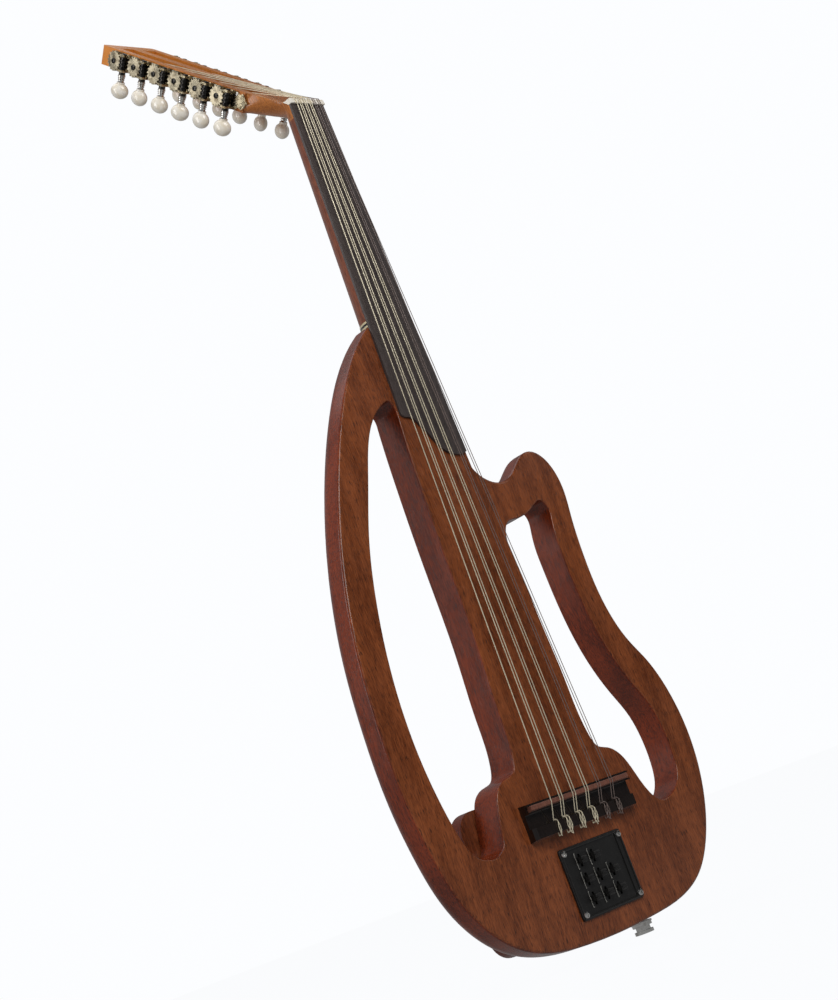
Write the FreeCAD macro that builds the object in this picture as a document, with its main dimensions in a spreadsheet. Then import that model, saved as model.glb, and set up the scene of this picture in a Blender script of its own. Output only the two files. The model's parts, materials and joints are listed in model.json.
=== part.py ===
"""Frame-body electric oud: eleven strings, slotted head, skeleton body.

Row frame, millimetres: +Z up along the neck, +X to the right of someone who
faces the instrument, +Y to its back.  Z = 0 is the tail, Y = 0 is the face of
the body and X = 0 is the centre line.
"""
import FreeCAD
import Part
import Sketcher
import math
import os
from FreeCAD import Placement, Rotation, Vector

doc = FreeCAD.newDocument("frame_oud")

# --------------------------------------------------------------------------
# Driving dimensions
# --------------------------------------------------------------------------
SIZES = {
    # body
    "body_half_width": 162.0,
    "body_thickness": 25.5,
    "beam_half_width": 38.0,
    "joint_height": 493.0,
    "back_edge_round": 13.0,
    "face_edge_round": 2.0,
    "opening_edge_round": 1.2,
    # back block behind the lower bout
    "housing_half_width": 98.0,
    "housing_top": 119.0,
    "housing_bottom": 12.0,
    "housing_thickness": 14.0,
    "housing_corner": 17.0,
    "housing_edge_round": 4.0,
    # strings
    "saddle_height": 105.0,
    "scale_length": 585.0,
    "saddle_course_pitch": 15.0,
    "saddle_pair_gap": 3.0,
    "nut_course_pitch": 5.4,
    "nut_pair_gap": 2.1,
    "string_shift": 1.5,
    "string_radius": 0.4,
    # neck and fingerboard
    "board_half_at_nut": 18.3,
    "board_half_at_joint": 25.0,
    "board_thickness": 2.0,
    "neck_depth_at_nut": 16.0,
    "neck_depth_at_joint": 21.5,
    "neck_head_splice": 12.0,
    "binding_width": 5.0,
    "binding_proud": 0.4,
    "tenon_half_width": 13.0,
    "tenon_depth": 9.0,
    "tenon_length": 42.0,
    "glue_gap": 0.1,
    # nut
    "nut_thickness": 4.6,
    "nut_rise": 4.0,
    "nut_back_drop": 0.8,
    # head
    "head_angle": 46.4,
    "head_length": 234.0,
    "head_half_width": 28.0,
    "head_thickness": 16.5,
    "slot_inner": 5.5,
    "slot_outer": 19.0,
    "slot_start": 54.0,
    "slot_end": 219.0,
    "slot_ramp": 17.0,
    # tuning machines
    "tuner_pitch": 27.5,
    "tuner_first": 69.0,
    "gear_depth": 8.8,
    "gear_radius": 8.6,
    "gear_teeth": 16,
    "gear_tooth_depth": 1.2,
    "gear_bite": 0.5,
    "gear_thickness": 3.2,
    "plate_thickness": 1.2,
    "plate_margin": 1.0,
    "plate_foot": 36.0,
    "plate_tip": 8.5,
    "roller_radius": 4.4,
    "axle_radius": 2.6,
    "running_gap": 0.3,
    "bearing_gap": 0.05,
    "worm_radius": 3.7,
    "worm_root_radius": 2.6,
    "worm_length": 10.6,
    "hub_radius": 4.2,
    "shaft_radius": 1.9,
    "lug_thickness": 1.8,
    "lug_half_width": 3.2,
    "button_depth": 32.4,
    "button_width": 16.5,
    "button_thickness": 10.5,
    "button_height": 13.5,
    # bridge
    "bridge_half_length": 60.0,
    "bridge_top": 4.0,
    "bridge_bottom": 23.5,
    "saddle_bar": 7.0,
    "saddle_bar_rise": 8.6,
    "tie_block": 9.5,
    "tie_block_rise": 8.0,
    "bridge_floor": 3.6,
    "saddle_strip": 4.4,
    "saddle_rise": 10.0,
    "saddle_sink": 4.0,
    "saddle_crown": 0.9,
    "bridge_toe": 1.2,
    "bridge_end_chamfer": 2.5,
    "tie_hole_radius": 0.75,
    "tie_hole_rise": 5.8,
    # preamp
    "preamp_centre_x": -2.0,
    "preamp_centre_drop": 61.3,
    "panel_half_width": 36.0,
    "panel_half_height": 26.8,
    "panel_rise": 2.0,
    "panel_corner": 2.5,
    "preamp_box_half_width": 29.0,
    "preamp_box_half_height": 20.0,
    "preamp_box_depth": 33.0,
    "preamp_box_gap": 0.8,
    "panel_screw_x": 32.4,
    "panel_screw_z": 22.9,
    "panel_screw_radius": 1.4,
    "panel_screw_head": 2.6,
    "panel_screw_length": 6.0,
    "panel_screw_head_rise": 1.5,
    "slider_pitch_x": 15.0,
    "slider_pitch_z": 14.4,
    "slider_half_travel": 3.2,
    "slider_cap_width": 6.4,
    "slider_cap_height": 5.0,
    "slider_cap_rise": 4.0,
    "slider_stem_width": 1.6,
    "slider_stem_height": 2.6,
    "slider_stem_depth": 5.0,
    # output jack
    "jack_x": 36.0,
    "jack_bore_radius": 3.25,
    "jack_barrel_radius": 5.6,
    "jack_flange_radius": 7.4,
    "jack_rise": 9.0,
    "jack_sunk": 24.0,
}

sheet = doc.addObject("Spreadsheet::Sheet", "sizes")
for line, (alias, value) in enumerate(SIZES.items(), start=1):
    sheet.set("A%d" % line, alias)
    sheet.set("B%d" % line, str(value))
    sheet.setAlias("B%d" % line, alias)
doc.recompute()


def size(alias):
    """Value of one driving dimension."""
    return float(sheet.get(alias))


nut_height = size("saddle_height") + size("scale_length")
joint_height = size("joint_height")
body_thickness = size("body_thickness")
board_taper = (size("board_half_at_joint") - size("board_half_at_nut")) / (
    nut_height - joint_height)
preamp_z = size("saddle_height") - size("preamp_centre_drop")

nodes = []


def keep(obj, label):
    """Give a finished object its label and list it for export."""
    obj.Label = label
    nodes.append(obj)
    return obj


def feature(label, shape, placement=None):
    """A finished sub-part from a shape made in code."""
    obj = doc.addObject("Part::Feature", label)
    obj.Shape = shape
    obj.Placement = placement or Placement()
    return keep(obj, label)


def board_half(height):
    """Half width of the fingerboard at a height."""
    return size("board_half_at_nut") + board_taper * (nut_height - height)


def flat(x, z, y=0.0):
    """Point of the face plane, moved back by y."""
    return Vector(x, y, z)


def spline(points):
    """Smooth edge through the points."""
    curve = Part.BSplineCurve()
    curve.interpolate(points)
    return curve.toShape()


def ring(points):
    """Closed smooth outline through the points, as two edges."""
    curve = Part.BSplineCurve()
    curve.interpolate(points, PeriodicFlag=True)
    first, last = curve.FirstParameter, curve.LastParameter
    middle = (first + last) / 2
    return [curve.toShape(first, middle), curve.toShape(middle, last)]


def slab(edges, depth):
    """Solid between a closed outline on the face plane and depth behind it."""
    face = Part.Face(Part.Wire(edges))
    return face.extrude(Vector(0, depth, 0))


def edges_at(shape, height_y, low=None, high=None):
    """Edges that lie wholly in the plane Y = height_y, between two heights."""
    found = []
    for edge in shape.Edges:
        box = edge.BoundBox
        flat_edge = abs(box.YMin - height_y) < 1e-4 and abs(box.YMax - height_y) < 1e-4
        inside = (low is None or box.ZMax >= low) and (high is None or box.ZMin < high)
        if flat_edge and inside:
            found.append(edge)
    return found


# --------------------------------------------------------------------------
# Body frame: two arms, a centre beam and the lower bout from one board
# --------------------------------------------------------------------------
DRAWN_HALF_WIDTH = 162.0
DRAWN_BEAM = 38.0
beam = size("beam_half_width")


def across(x):
    """Drawn distance from the centre line, at this body's width."""
    side = -1.0 if x < 0 else 1.0
    reach = abs(x)
    if reach <= DRAWN_BEAM:
        return side * reach * beam / DRAWN_BEAM
    share = (reach - DRAWN_BEAM) / (DRAWN_HALF_WIDTH - DRAWN_BEAM)
    return side * (beam + share * (size("body_half_width") - beam))


def drawn(points):
    """Drawn (x, z) pairs as points of the face plane."""
    return [flat(across(x), z) for x, z in points]


horn_root = 372.0
left_shoulder = flat(-board_half(joint_height) - 0.4, joint_height)
right_shoulder = flat(board_half(joint_height) + 0.4, joint_height)
treble_root = flat(board_half(horn_root) + 0.4, horn_root)
OUTER = [
    (-49, 473), (-84, 428), (-118, 366), (-144, 299), (-157, 244), (-162, 197),
    (-162, 132), (-157, 98), (-147, 63), (-130, 36), (-108, 17.5), (-80, 6.5),
    (-40, 1.2), (0, 0), (40, 1.2), (80, 5.5), (108, 16), (132, 38), (149, 66),
    (159, 96), (162, 128), (158, 158), (146, 188), (134, 206), (125, 228),
    (121, 252), (121, 282), (124.5, 315), (128, 338), (125, 358), (116.5, 370.5),
    (106, 375.5), (95, 374), (82, 365.5), (70, 357), (57, 353.5), (44, 356.5),
    (34, 364),
]
outer_edge = spline([left_shoulder] + drawn(OUTER) + [treble_root])
outline = [
    outer_edge,
    Part.makeLine(treble_root, right_shoulder),
    Part.makeLine(right_shoulder, left_shoulder),
]
BASS_OPENING = [
    (-35, 430.5), (-43, 427), (-58, 415), (-84, 371), (-106, 324), (-122, 275), (-131, 232),
    (-135, 190), (-134, 152), (-129, 118), (-124, 99), (-117, 87), (-107, 82),
    (-96, 81.5), (-88, 86), (-84, 97), (-80, 111), (-73, 125), (-62, 131),
    (-51, 134), (-46, 143), (-42, 180), (-38, 230), (-36, 300), (-34, 355),
    (-31, 402), (-29.5, 417), (-30, 426),
]
TREBLE_OPENING = [
    (95, 290), (95.5, 262), (98.5, 228), (106, 197), (118, 170), (128, 151),
    (132.5, 130), (132, 108), (127, 92), (118, 83), (107, 79), (96, 79.5),
    (88, 87), (80, 104), (72, 121), (60, 130), (49, 134), (44.5, 144),
    (42, 190), (40, 240), (38.5, 290), (39.5, 310), (47, 320), (60, 322),
    (74, 325), (86, 331), (94, 333), (99, 328), (98, 314),
]
body_solid = slab(outline, body_thickness)
back_edges = [e for e in edges_at(body_solid, body_thickness)
              if e.BoundBox.ZLength > 1.0]
body_solid = body_solid.makeFillet(size("back_edge_round"), back_edges)
face_edges = [e for e in edges_at(body_solid, 0.0)
              if e.BoundBox.ZLength > 200.0]
body_solid = body_solid.makeFillet(size("face_edge_round"), face_edges)
for opening in (BASS_OPENING, TREBLE_OPENING):
    hole = slab(ring(drawn(opening)), body_thickness + 2)
    hole.translate(Vector(0, -1, 0))
    body_solid = body_solid.cut(hole)
for plane in (0.0, body_thickness):
    rims = [e for e in edges_at(body_solid, plane, 120.0, 440.0)
            if 60.0 < e.BoundBox.ZMin < 120.0]
    body_solid = body_solid.makeFillet(size("opening_edge_round"), rims)


def block(half_x, y_low, y_high, z_low, z_high, centre_x=0.0):
    """Box from its half width and its faces."""
    return Part.makeBox(2 * half_x, y_high - y_low, z_high - z_low,
                        Vector(centre_x - half_x, y_low, z_low))


tenon_half = size("tenon_half_width")
tenon_top = 4.0
tenon_back = tenon_top + size("tenon_depth")
gap = size("glue_gap")
mortise = block(tenon_half + gap, tenon_top - gap, tenon_back + gap,
                joint_height - size("tenon_length") - gap, joint_height + 1)
box_gap = size("preamp_box_gap")
preamp_x = size("preamp_centre_x")
box_half_x = size("preamp_box_half_width")
box_half_z = size("preamp_box_half_height")
preamp_hole = block(box_half_x + box_gap, -1, size("preamp_box_depth") + box_gap,
                    preamp_z - box_half_z - box_gap, preamp_z + box_half_z + box_gap,
                    preamp_x)
jack_y = body_thickness / 2
jack_hole = Part.makeCylinder(size("jack_barrel_radius") + gap, size("jack_sunk") + 6,
                              Vector(size("jack_x"), jack_y, -5))
screw_x = size("panel_screw_x")
screw_z = size("panel_screw_z")
screw_spots = [Vector(preamp_x + a * screw_x, 0, preamp_z + b * screw_z)
               for a in (-1, 1) for b in (-1, 1)]
screw_holes = [Part.makeCylinder(size("panel_screw_radius") + gap,
                                 size("panel_screw_length") + gap, spot,
                                 Vector(0, 1, 0)) for spot in screw_spots]
body_solid = body_solid.cut([mortise, preamp_hole, jack_hole] + screw_holes)
body_frame = feature("body_frame", body_solid)

# --------------------------------------------------------------------------
# Rear housing: block glued behind the bout, hollow behind the preamp
# --------------------------------------------------------------------------
housing_half = size("housing_half_width") * size("body_half_width") / DRAWN_HALF_WIDTH
housing_back = body_thickness + size("housing_thickness")
housing = block(housing_half, body_thickness, housing_back,
                size("housing_bottom"), size("housing_top"))
corners = [e for e in housing.Edges if e.BoundBox.YLength > 1 and
           e.BoundBox.XLength < 1e-3]
housing = housing.makeFillet(size("housing_corner"), corners)
housing = housing.makeFillet(size("housing_edge_round"),
                             edges_at(housing, housing_back))
housing = housing.cut(preamp_hole)
rear_housing = feature("rear_housing", housing)

# --------------------------------------------------------------------------
# Neck, heel binding and fingerboard
# --------------------------------------------------------------------------


def neck_section(half, depth, power, origin, depth_way):
    """Closed section: flat along X at origin, rounded behind along depth_way."""
    points = []
    for step in range(13):
        turn = math.pi * step / 12
        reach = half * abs(math.cos(turn)) ** (2.0 / power)
        side = 1.0 if math.cos(turn) >= 0 else -1.0
        fall = depth * abs(math.sin(turn)) ** (2.0 / power)
        points.append(origin + Vector(side * reach, 0, 0) + depth_way * fall)
    points[0] = origin + Vector(half, 0, 0)
    points[-1] = origin - Vector(half, 0, 0)
    return Part.Wire([spline(points), Part.makeLine(points[-1], points[0])])


straight_back = Vector(0, 1, 0)
neck_low = joint_height + size("binding_width")
neck_high = nut_height - size("neck_head_splice")


def neck_depth(height):
    """Depth of the neck behind the fingerboard at a height."""
    share = (height - joint_height) / (nut_height - joint_height)
    low = size("neck_depth_at_joint")
    return low + share * (size("neck_depth_at_nut") - low)


def neck_wire(height, proud=0.0):
    """Section of the neck at a height, made larger by proud."""
    return neck_section(board_half(height) + proud, neck_depth(height) + proud, 2.0,
                        Vector(0, 0, height), straight_back)


neck_solid = Part.makeLoft([neck_wire(neck_low), neck_wire(neck_high)], True, True)
tenon = block(tenon_half, tenon_top, tenon_back,
              joint_height - size("tenon_length"), neck_low + 1)
neck = feature("neck", neck_solid.fuse(tenon).removeSplitter())

binding_solid = Part.makeLoft([neck_wire(joint_height, size("binding_proud")),
                               neck_wire(neck_low, size("binding_proud"))], True, True)
binding_solid = binding_solid.cut(block(tenon_half + gap, tenon_top - gap,
                                        tenon_back + gap, joint_height - 1, neck_low + 1))
heel_binding = feature("heel_binding", binding_solid)

BOARD_END = [(-26, 416.5), (-19, 415), (-12, 409), (-4, 397), (3, 387), (11, 382),
             (20, 380)]
bass_end, treble_end = 420.0, 382.0
board_end = ([flat(-board_half(bass_end), bass_end)]
             + [flat(x, z) for x, z in BOARD_END]
             + [flat(board_half(treble_end), treble_end)])
board_top_left = flat(-board_half(nut_height), nut_height)
board_top_right = flat(board_half(nut_height), nut_height)
board_solid = slab([
    spline(board_end),
    Part.makeLine(board_end[-1], board_top_right),
    Part.makeLine(board_top_right, board_top_left),
    Part.makeLine(board_top_left, board_end[0]),
], -size("board_thickness"))
fingerboard = feature("fingerboard", board_solid)

# --------------------------------------------------------------------------
# Head: thick slotted plate bent back from the neck, with its rounded root
# --------------------------------------------------------------------------
head_angle = math.radians(size("head_angle"))
along = Vector(0, math.sin(head_angle), math.cos(head_angle))
behind = Vector(0, math.cos(head_angle), -math.sin(head_angle))
head_place = Placement(Vector(0, 0, nut_height),
                       Rotation(Vector(1, 0, 0), -size("head_angle")))
head_half = size("head_half_width")
head_thick = size("head_thickness")


def on_head(x, depth, reach):
    """Row-frame point from head distances: across, behind the face, along it."""
    return Vector(x, 0, nut_height) + behind * depth + along * reach


def fan(share):
    """Depth direction part of the way from the neck's to the head's."""
    return Vector(0, math.cos(head_angle * share), -math.sin(head_angle * share))


root_reach = 42.0
nut_half = board_half(nut_height)
collar = Part.makeLoft([
    neck_wire(neck_high),
    neck_section(nut_half, size("neck_depth_at_nut"), 2.0, Vector(0, 0, nut_height),
                 fan(0.15)),
], True, True)
root_sections = [
    neck_section(nut_half, size("neck_depth_at_nut"), 2.0, on_head(0, 0, 0), fan(0.15)),
    neck_section(nut_half + 1.0, 15.6, 2.4, on_head(0, 0, 12), fan(0.45)),
    neck_section(head_half - 3.0, 15.8, 3.6, on_head(0, 0, 28), fan(0.8)),
    neck_section(head_half, head_thick, 9.0, on_head(0, 0, root_reach), fan(1.0)),
]
root = Part.makeLoft(root_sections, True, False)
plate = Part.makeBox(2 * head_half, head_thick, size("head_length") - root_reach,
                     Vector(-head_half, 0, root_reach))
tip_edges = [e for e in plate.Edges
             if e.BoundBox.ZMin > size("head_length") - 1 and e.BoundBox.YLength > 1]
plate = plate.makeFillet(4.0, tip_edges)
plate.Placement = head_place
head_solid = collar.fuse([root, plate])


def head_prism(outline_sz, x_low, x_high):
    """Prism across the head from (reach, depth) corners."""
    corners_3d = [Vector(x_low, depth, reach) for reach, depth in outline_sz]
    face = Part.Face(Part.makePolygon(corners_3d + corners_3d[:1]))
    prism = face.extrude(Vector(x_high - x_low, 0, 0))
    prism.Placement = head_place
    return prism


slot_start = size("slot_start")
slot_end = size("slot_end")
SLOT_SIDE = [(slot_start - size("slot_ramp"), -1), (slot_end, -1),
             (slot_end, head_thick + 1), (slot_start + 1, head_thick + 1),
             (slot_start, 9.0)]
slots = []
for side in (-1, 1):
    ends = sorted((side * size("slot_inner"), side * size("slot_outer")))
    slots.append(head_prism(SLOT_SIDE, ends[0], ends[1]))

tuner_reach = [size("tuner_first") + size("tuner_pitch") * n for n in range(6)]
gear_depth = size("gear_depth")
bearing = size("bearing_gap")
axle = size("axle_radius")
roller = size("roller_radius")
axle_holes = []
for reach in tuner_reach:
    for side in (-1, 1):
        start = Vector(side * (size("slot_inner") - 3.4), gear_depth, reach)
        hole = Part.makeCylinder(axle + bearing, head_half, start, Vector(side, 0, 0))
        hole.Placement = head_place
        axle_holes.append(hole)
head_solid = head_solid.cut(slots + axle_holes)
headstock = feature("headstock", head_solid)

# --------------------------------------------------------------------------
# Tuning machines
# --------------------------------------------------------------------------
plate_thickness = size("plate_thickness")
plate_face = head_half + plate_thickness
gear_mid = plate_face + size("running_gap") + size("worm_radius")
worm_offset = size("gear_radius") + size("worm_radius") - size("gear_bite")
shaft_radius = size("shaft_radius")
worm_half = size("worm_length") / 2
lug = size("lug_thickness")
lug_gap = size("running_gap")


def plate_outline(side):
    """Long plate with a scalloped foot and a rounded tip, on the head's side."""
    low = size("plate_margin")
    high = head_thick - size("plate_margin")
    tip = tuner_reach[-1] + size("plate_tip")
    foot = size("plate_foot")
    middle = head_thick / 2
    x = side * head_half
    shape = [(low, tip - 3), (low + 3, tip), (high - 3, tip), (high, tip - 3),
             (high, foot + 14), (high - 2.2, foot + 11), (high - 0.6, foot + 7.5),
             (high - 3.4, foot + 4.2), (middle + 1.6, foot + 3.4), (middle, foot),
             (middle - 1.6, foot + 3.4), (low + 3.4, foot + 4.2),
             (low + 0.6, foot + 7.5), (low + 2.2, foot + 11), (low, foot + 14)]
    corners_3d = [Vector(x, depth, reach) for depth, reach in shape]
    face = Part.Face(Part.makePolygon(corners_3d + corners_3d[:1]))
    return face.extrude(Vector(side * plate_thickness, 0, 0))


def tuner_plate(side):
    """Plate with a pair of bearing lugs for each worm."""
    solid = plate_outline(side)
    lugs = []
    bores = []
    for reach in tuner_reach:
        worm_z = reach - worm_offset
        for way in (-1, 1):
            y_low = gear_depth + way * (worm_half + lug_gap)
            y_low = min(y_low, y_low + way * lug)
            out = gear_mid + size("lug_half_width") - head_half
            x_low = head_half if side > 0 else -head_half - out
            lugs.append(Part.makeBox(out, lug, 2 * size("lug_half_width"),
                                     Vector(x_low, y_low, worm_z - size("lug_half_width"))))
        bores.append(Part.makeCylinder(shaft_radius + bearing, 40,
                                       Vector(side * gear_mid, -10, worm_z),
                                       Vector(0, 1, 0)))
        bores.append(Part.makeCylinder(axle + bearing, 10,
                                       Vector(side * (head_half - 2), gear_depth, reach),
                                       Vector(side, 0, 0)))
    return solid.fuse(lugs).cut(bores).removeSplitter()


tuner_plates = {}
for side, word in ((-1, "bass"), (1, "treble")):
    tuner_plates[word] = feature("tuner_plate_" + word, tuner_plate(side), head_place)

gear_radius = size("gear_radius")
teeth = int(size("gear_teeth"))
tooth_root = gear_radius - size("gear_tooth_depth")
pitch_radius = gear_radius - size("gear_bite")
worm_pitch = 2 * math.pi * pitch_radius / teeth


def gear_roller(side):
    """Gear, axle and string roller as one turning piece, about its own axis."""
    points = []
    for tooth in range(teeth):
        middle = 2 * math.pi * tooth / teeth
        for turn, radius in ((-0.34, tooth_root), (-0.15, gear_radius),
                             (0.15, gear_radius), (0.34, tooth_root)):
            a = middle + turn * 2 * math.pi / teeth
            points.append(Vector(0, radius * math.cos(a), radius * math.sin(a)))
    face = Part.Face(Part.makePolygon(points + points[:1]))
    half = size("gear_thickness") / 2
    gear = face.extrude(Vector(2 * half, 0, 0))
    gear.translate(Vector(gear_mid - half, 0, 0))
    slot_gap = 0.4
    inner = size("slot_inner") + slot_gap
    drum = Part.makeCylinder(roller, size("slot_outer") - slot_gap - inner,
                             Vector(inner, 0, 0), Vector(1, 0, 0))
    pin = Part.makeCylinder(axle, gear_mid - size("slot_inner") + 3.0,
                            Vector(size("slot_inner") - 3.0, 0, 0), Vector(1, 0, 0))
    hub = Part.makeCylinder(size("hub_radius"), half + gear_mid - plate_face
                            - size("running_gap"),
                            Vector(plate_face + size("running_gap"), 0, 0),
                            Vector(1, 0, 0))
    string_hole = Part.makeCylinder(0.8, 4 * roller, Vector(
        (inner + size("slot_outer")) / 2, -2 * roller, 0), Vector(0, 1, 0))
    solid = gear.fuse([drum, pin, hub]).cut(string_hole).removeSplitter()
    if side < 0:
        solid = solid.mirror(Vector(0, 0, 0), Vector(1, 0, 0))
    return solid


def worm_shaft():
    """Worm and its shaft along +Y; the origin is the middle of the worm."""
    stub = worm_half + lug_gap + lug + 0.8
    reach = size("button_depth") - gear_depth + 2.0
    core = Part.makeCylinder(shaft_radius, stub + reach, Vector(0, -stub, 0),
                             Vector(0, 1, 0))
    root_core = Part.makeCylinder(size("worm_root_radius"), 2 * worm_half,
                                  Vector(0, -worm_half, 0), Vector(0, 1, 0))
    collar_ring = Part.makeCylinder(shaft_radius + 0.9, 1.6, Vector(
        0, worm_half + lug_gap + lug + lug_gap, 0), Vector(0, 1, 0))
    radius = size("worm_radius")
    depth = radius - size("worm_root_radius")
    run = 2.5 * worm_pitch
    helix = Part.makeHelix(worm_pitch, run, radius - depth)
    inner = radius - depth - 0.2
    profile = Part.makePolygon([
        Vector(inner, 0, -0.9), Vector(radius, 0, -0.35), Vector(radius, 0, 0.35),
        Vector(inner, 0, 0.9), Vector(inner, 0, -0.9)])
    thread = Part.Wire(helix).makePipeShell([Part.Wire(profile)], True, True)
    thread.translate(Vector(0, 0, -run / 2))
    thread.rotate(Vector(0, 0, 0), Vector(1, 0, 0), -90)
    return core.fuse([root_core, collar_ring, thread]).removeSplitter()


worm_shape = worm_shaft()
roller_shapes = {side: gear_roller(side) for side in (-1, 1)}
button_y = size("button_depth") - gear_depth
for side, word in ((-1, "bass"), (1, "treble")):
    for number, reach in enumerate(tuner_reach, start=1):
        tag = "%s_%d" % (word, number)
        gear_place = head_place.multiply(Placement(Vector(0, gear_depth, reach),
                                                   Rotation()))
        worm_place = head_place.multiply(Placement(
            Vector(side * gear_mid, gear_depth, reach - worm_offset), Rotation()))
        feature("roller_" + tag, roller_shapes[side].copy(), gear_place)
        feature("worm_" + tag, worm_shape.copy(), worm_place)

button_core = Part.makeSphere(1.0)
stretch = FreeCAD.Matrix()
stretch.scale(Vector(size("button_width") / 2, size("button_height") / 2,
                     size("button_thickness") / 2))
button_shape = button_core.transformGeometry(stretch)
button_neck = Part.makeCylinder(shaft_radius + 1.5, 3.0, Vector(
    0, -size("button_height") / 2 - 0.8, 0), Vector(0, 1, 0))
button_bore = Part.makeCylinder(shaft_radius + gap, 2.0 + gap + size("button_height"),
                                Vector(0, -size("button_height"), 0), Vector(0, 1, 0))
button_shape = button_shape.fuse(button_neck).cut(button_bore).removeSplitter()
for side, word in ((-1, "bass"), (1, "treble")):
    for number, reach in enumerate(tuner_reach, start=1):
        facing = Rotation(Vector(0, 1, 0), 90 + side * 12 + 7 * (number % 3 - 1))
        button_place = head_place.multiply(Placement(
            Vector(side * gear_mid, size("button_depth"), reach - worm_offset), facing))
        feature("button_%s_%d" % (word, number), button_shape.copy(), button_place)

# --------------------------------------------------------------------------
# Bridge, saddle and nut: profiles padded across the instrument
# --------------------------------------------------------------------------


def total(*terms):
    """Sum of signed sheet values, as a number and as an expression."""
    value = 0.0
    words = []
    for term in terms:
        sign = -1 if term.startswith("-") else 1
        alias = term.lstrip("-")
        value += sign * size(alias)
        words.append(("-" if sign < 0 else "+") + "sizes." + alias)
    return value, "".join(words).lstrip("+")


def half_of(alias, sign=1):
    """Half of a sheet value, as a number and as an expression."""
    return sign * size(alias) / 2, "%s sizes.%s / 2" % ("-" if sign < 0 else "", alias)


def join(first, second):
    """Sum of two (number, expression) pairs."""
    return first[0] + second[0], "%s + (%s)" % (first[1], second[1])


def origin_plane(body, role):
    """One of a body's own origin planes, by its role."""
    return [f for f in body.Origin.OriginFeatures if f.Role == role][0]


def new_sketch(body, role, name):
    """Empty sketch flat on one of the body's origin planes."""
    sketch = body.newObject("Sketcher::SketchObject", name)
    sketch.AttachmentSupport = [(origin_plane(body, role), "")]
    sketch.MapMode = "FlatFace"
    return sketch


def polygon_sketch(body, role, name, corners_xy):
    """Closed polygon whose corners are held by sheet expressions."""
    sketch = new_sketch(body, role, name)
    count = len(corners_xy)
    spots = [Vector(x[0], y[0], 0) for x, y in corners_xy]
    for n in range(count):
        sketch.addGeometry(Part.LineSegment(spots[n], spots[(n + 1) % count]), False)
    for n in range(count):
        sketch.addConstraint(Sketcher.Constraint("Coincident", n, 2, (n + 1) % count, 1))
    for n, (x, y) in enumerate(corners_xy):
        for kind, (value, expression) in (("DistanceX", x), ("DistanceY", y)):
            where = sketch.addConstraint(Sketcher.Constraint(kind, -1, 1, n, 1, value))
            sketch.setExpression("Constraints[%d]" % where, expression)
    return sketch


def profile_body(label, corners_yz, length_expression):
    """Body padded both ways along X from a profile in the YZ plane."""
    body = doc.addObject("PartDesign::Body", label)
    profile = polygon_sketch(body, "YZ_Plane", label + "_profile", corners_yz)
    pad = body.newObject("PartDesign::Pad", label + "_pad")
    pad.Profile = profile
    pad.SideType = "Symmetric"
    pad.setExpression("Length", length_expression)
    doc.recompute()
    return keep(body, label), pad


def string_places(pitch, pair_gap, shift=0.0):
    """X of the eleven strings: one single bass, then five pairs."""
    centres = [shift + (n - 2) * pitch + pitch / 3 for n in range(5)]
    places = [centres[0] - 0.77 * pitch]
    for centre in centres:
        places += [centre - pair_gap / 2, centre + pair_gap / 2]
    return places


saddle_x = string_places(size("saddle_course_pitch"), size("saddle_pair_gap"),
                         size("string_shift"))
nut_x = string_places(size("nut_course_pitch"), size("nut_pair_gap"))

bar_top = join(total("saddle_height"), half_of("saddle_bar"))
bar_low = join(total("saddle_height"), half_of("saddle_bar", -1))
strip_top = join(total("saddle_height"), half_of("saddle_strip"))
strip_low = join(total("saddle_height"), half_of("saddle_strip", -1))
strip_floor = total("-saddle_rise", "saddle_sink")
block_top = total("saddle_height", "-bridge_bottom", "tie_block")
ground = (0.0, "0")
bridge, bridge_pad = profile_body("bridge", [
    (ground, total("saddle_height", "bridge_top")),
    (total("-saddle_bar_rise"), bar_top),
    (total("-saddle_bar_rise"), strip_top),
    (strip_floor, strip_top),
    (strip_floor, strip_low),
    (total("-saddle_bar_rise"), strip_low),
    (total("-saddle_bar_rise"), bar_low),
    (total("-bridge_floor"), bar_low),
    (total("-bridge_floor"), block_top),
    (total("-tie_block_rise"), block_top),
    (total("-tie_block_rise"), total("saddle_height", "-bridge_bottom", "bridge_toe")),
    (ground, total("saddle_height", "-bridge_bottom")),
], "2 * sizes.bridge_half_length")
end_edges = ["Edge%d" % (n + 1) for n, e in enumerate(bridge_pad.Shape.Edges)
             if e.BoundBox.XLength < 1e-6 and e.BoundBox.YMax < -size("bridge_floor") - 2
             and e.BoundBox.YLength < 1e-6
             and e.BoundBox.ZLength > size("tie_block") - size("bridge_toe") - 1]
bridge_chamfer = bridge.newObject("PartDesign::Chamfer", "bridge_chamfer")
bridge_chamfer.Base = (bridge_pad, end_edges)
bridge_chamfer.setExpression("Size", "sizes.bridge_end_chamfer")
doc.recompute()
tie_sketch = new_sketch(bridge, "XY_Plane", "tie_holes")
hole_y = -size("tie_hole_rise")
for x in saddle_x:
    circle = tie_sketch.addGeometry(Part.Circle(Vector(x, hole_y, 0), Vector(0, 0, 1),
                                                size("tie_hole_radius")), False)
    drop = tie_sketch.addConstraint(Sketcher.Constraint("DistanceY", -1, 1, circle, 3,
                                                        hole_y))
    tie_sketch.setExpression("Constraints[%d]" % drop, "-sizes.tie_hole_rise")
    wide = tie_sketch.addConstraint(Sketcher.Constraint("Radius", circle,
                                                        size("tie_hole_radius")))
    tie_sketch.setExpression("Constraints[%d]" % wide, "sizes.tie_hole_radius")
before_holes = bridge.Shape.Volume
tie_pocket = bridge.newObject("PartDesign::Pocket", "tie_pocket")
tie_pocket.Profile = tie_sketch
tie_pocket.Reversed = True
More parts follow.
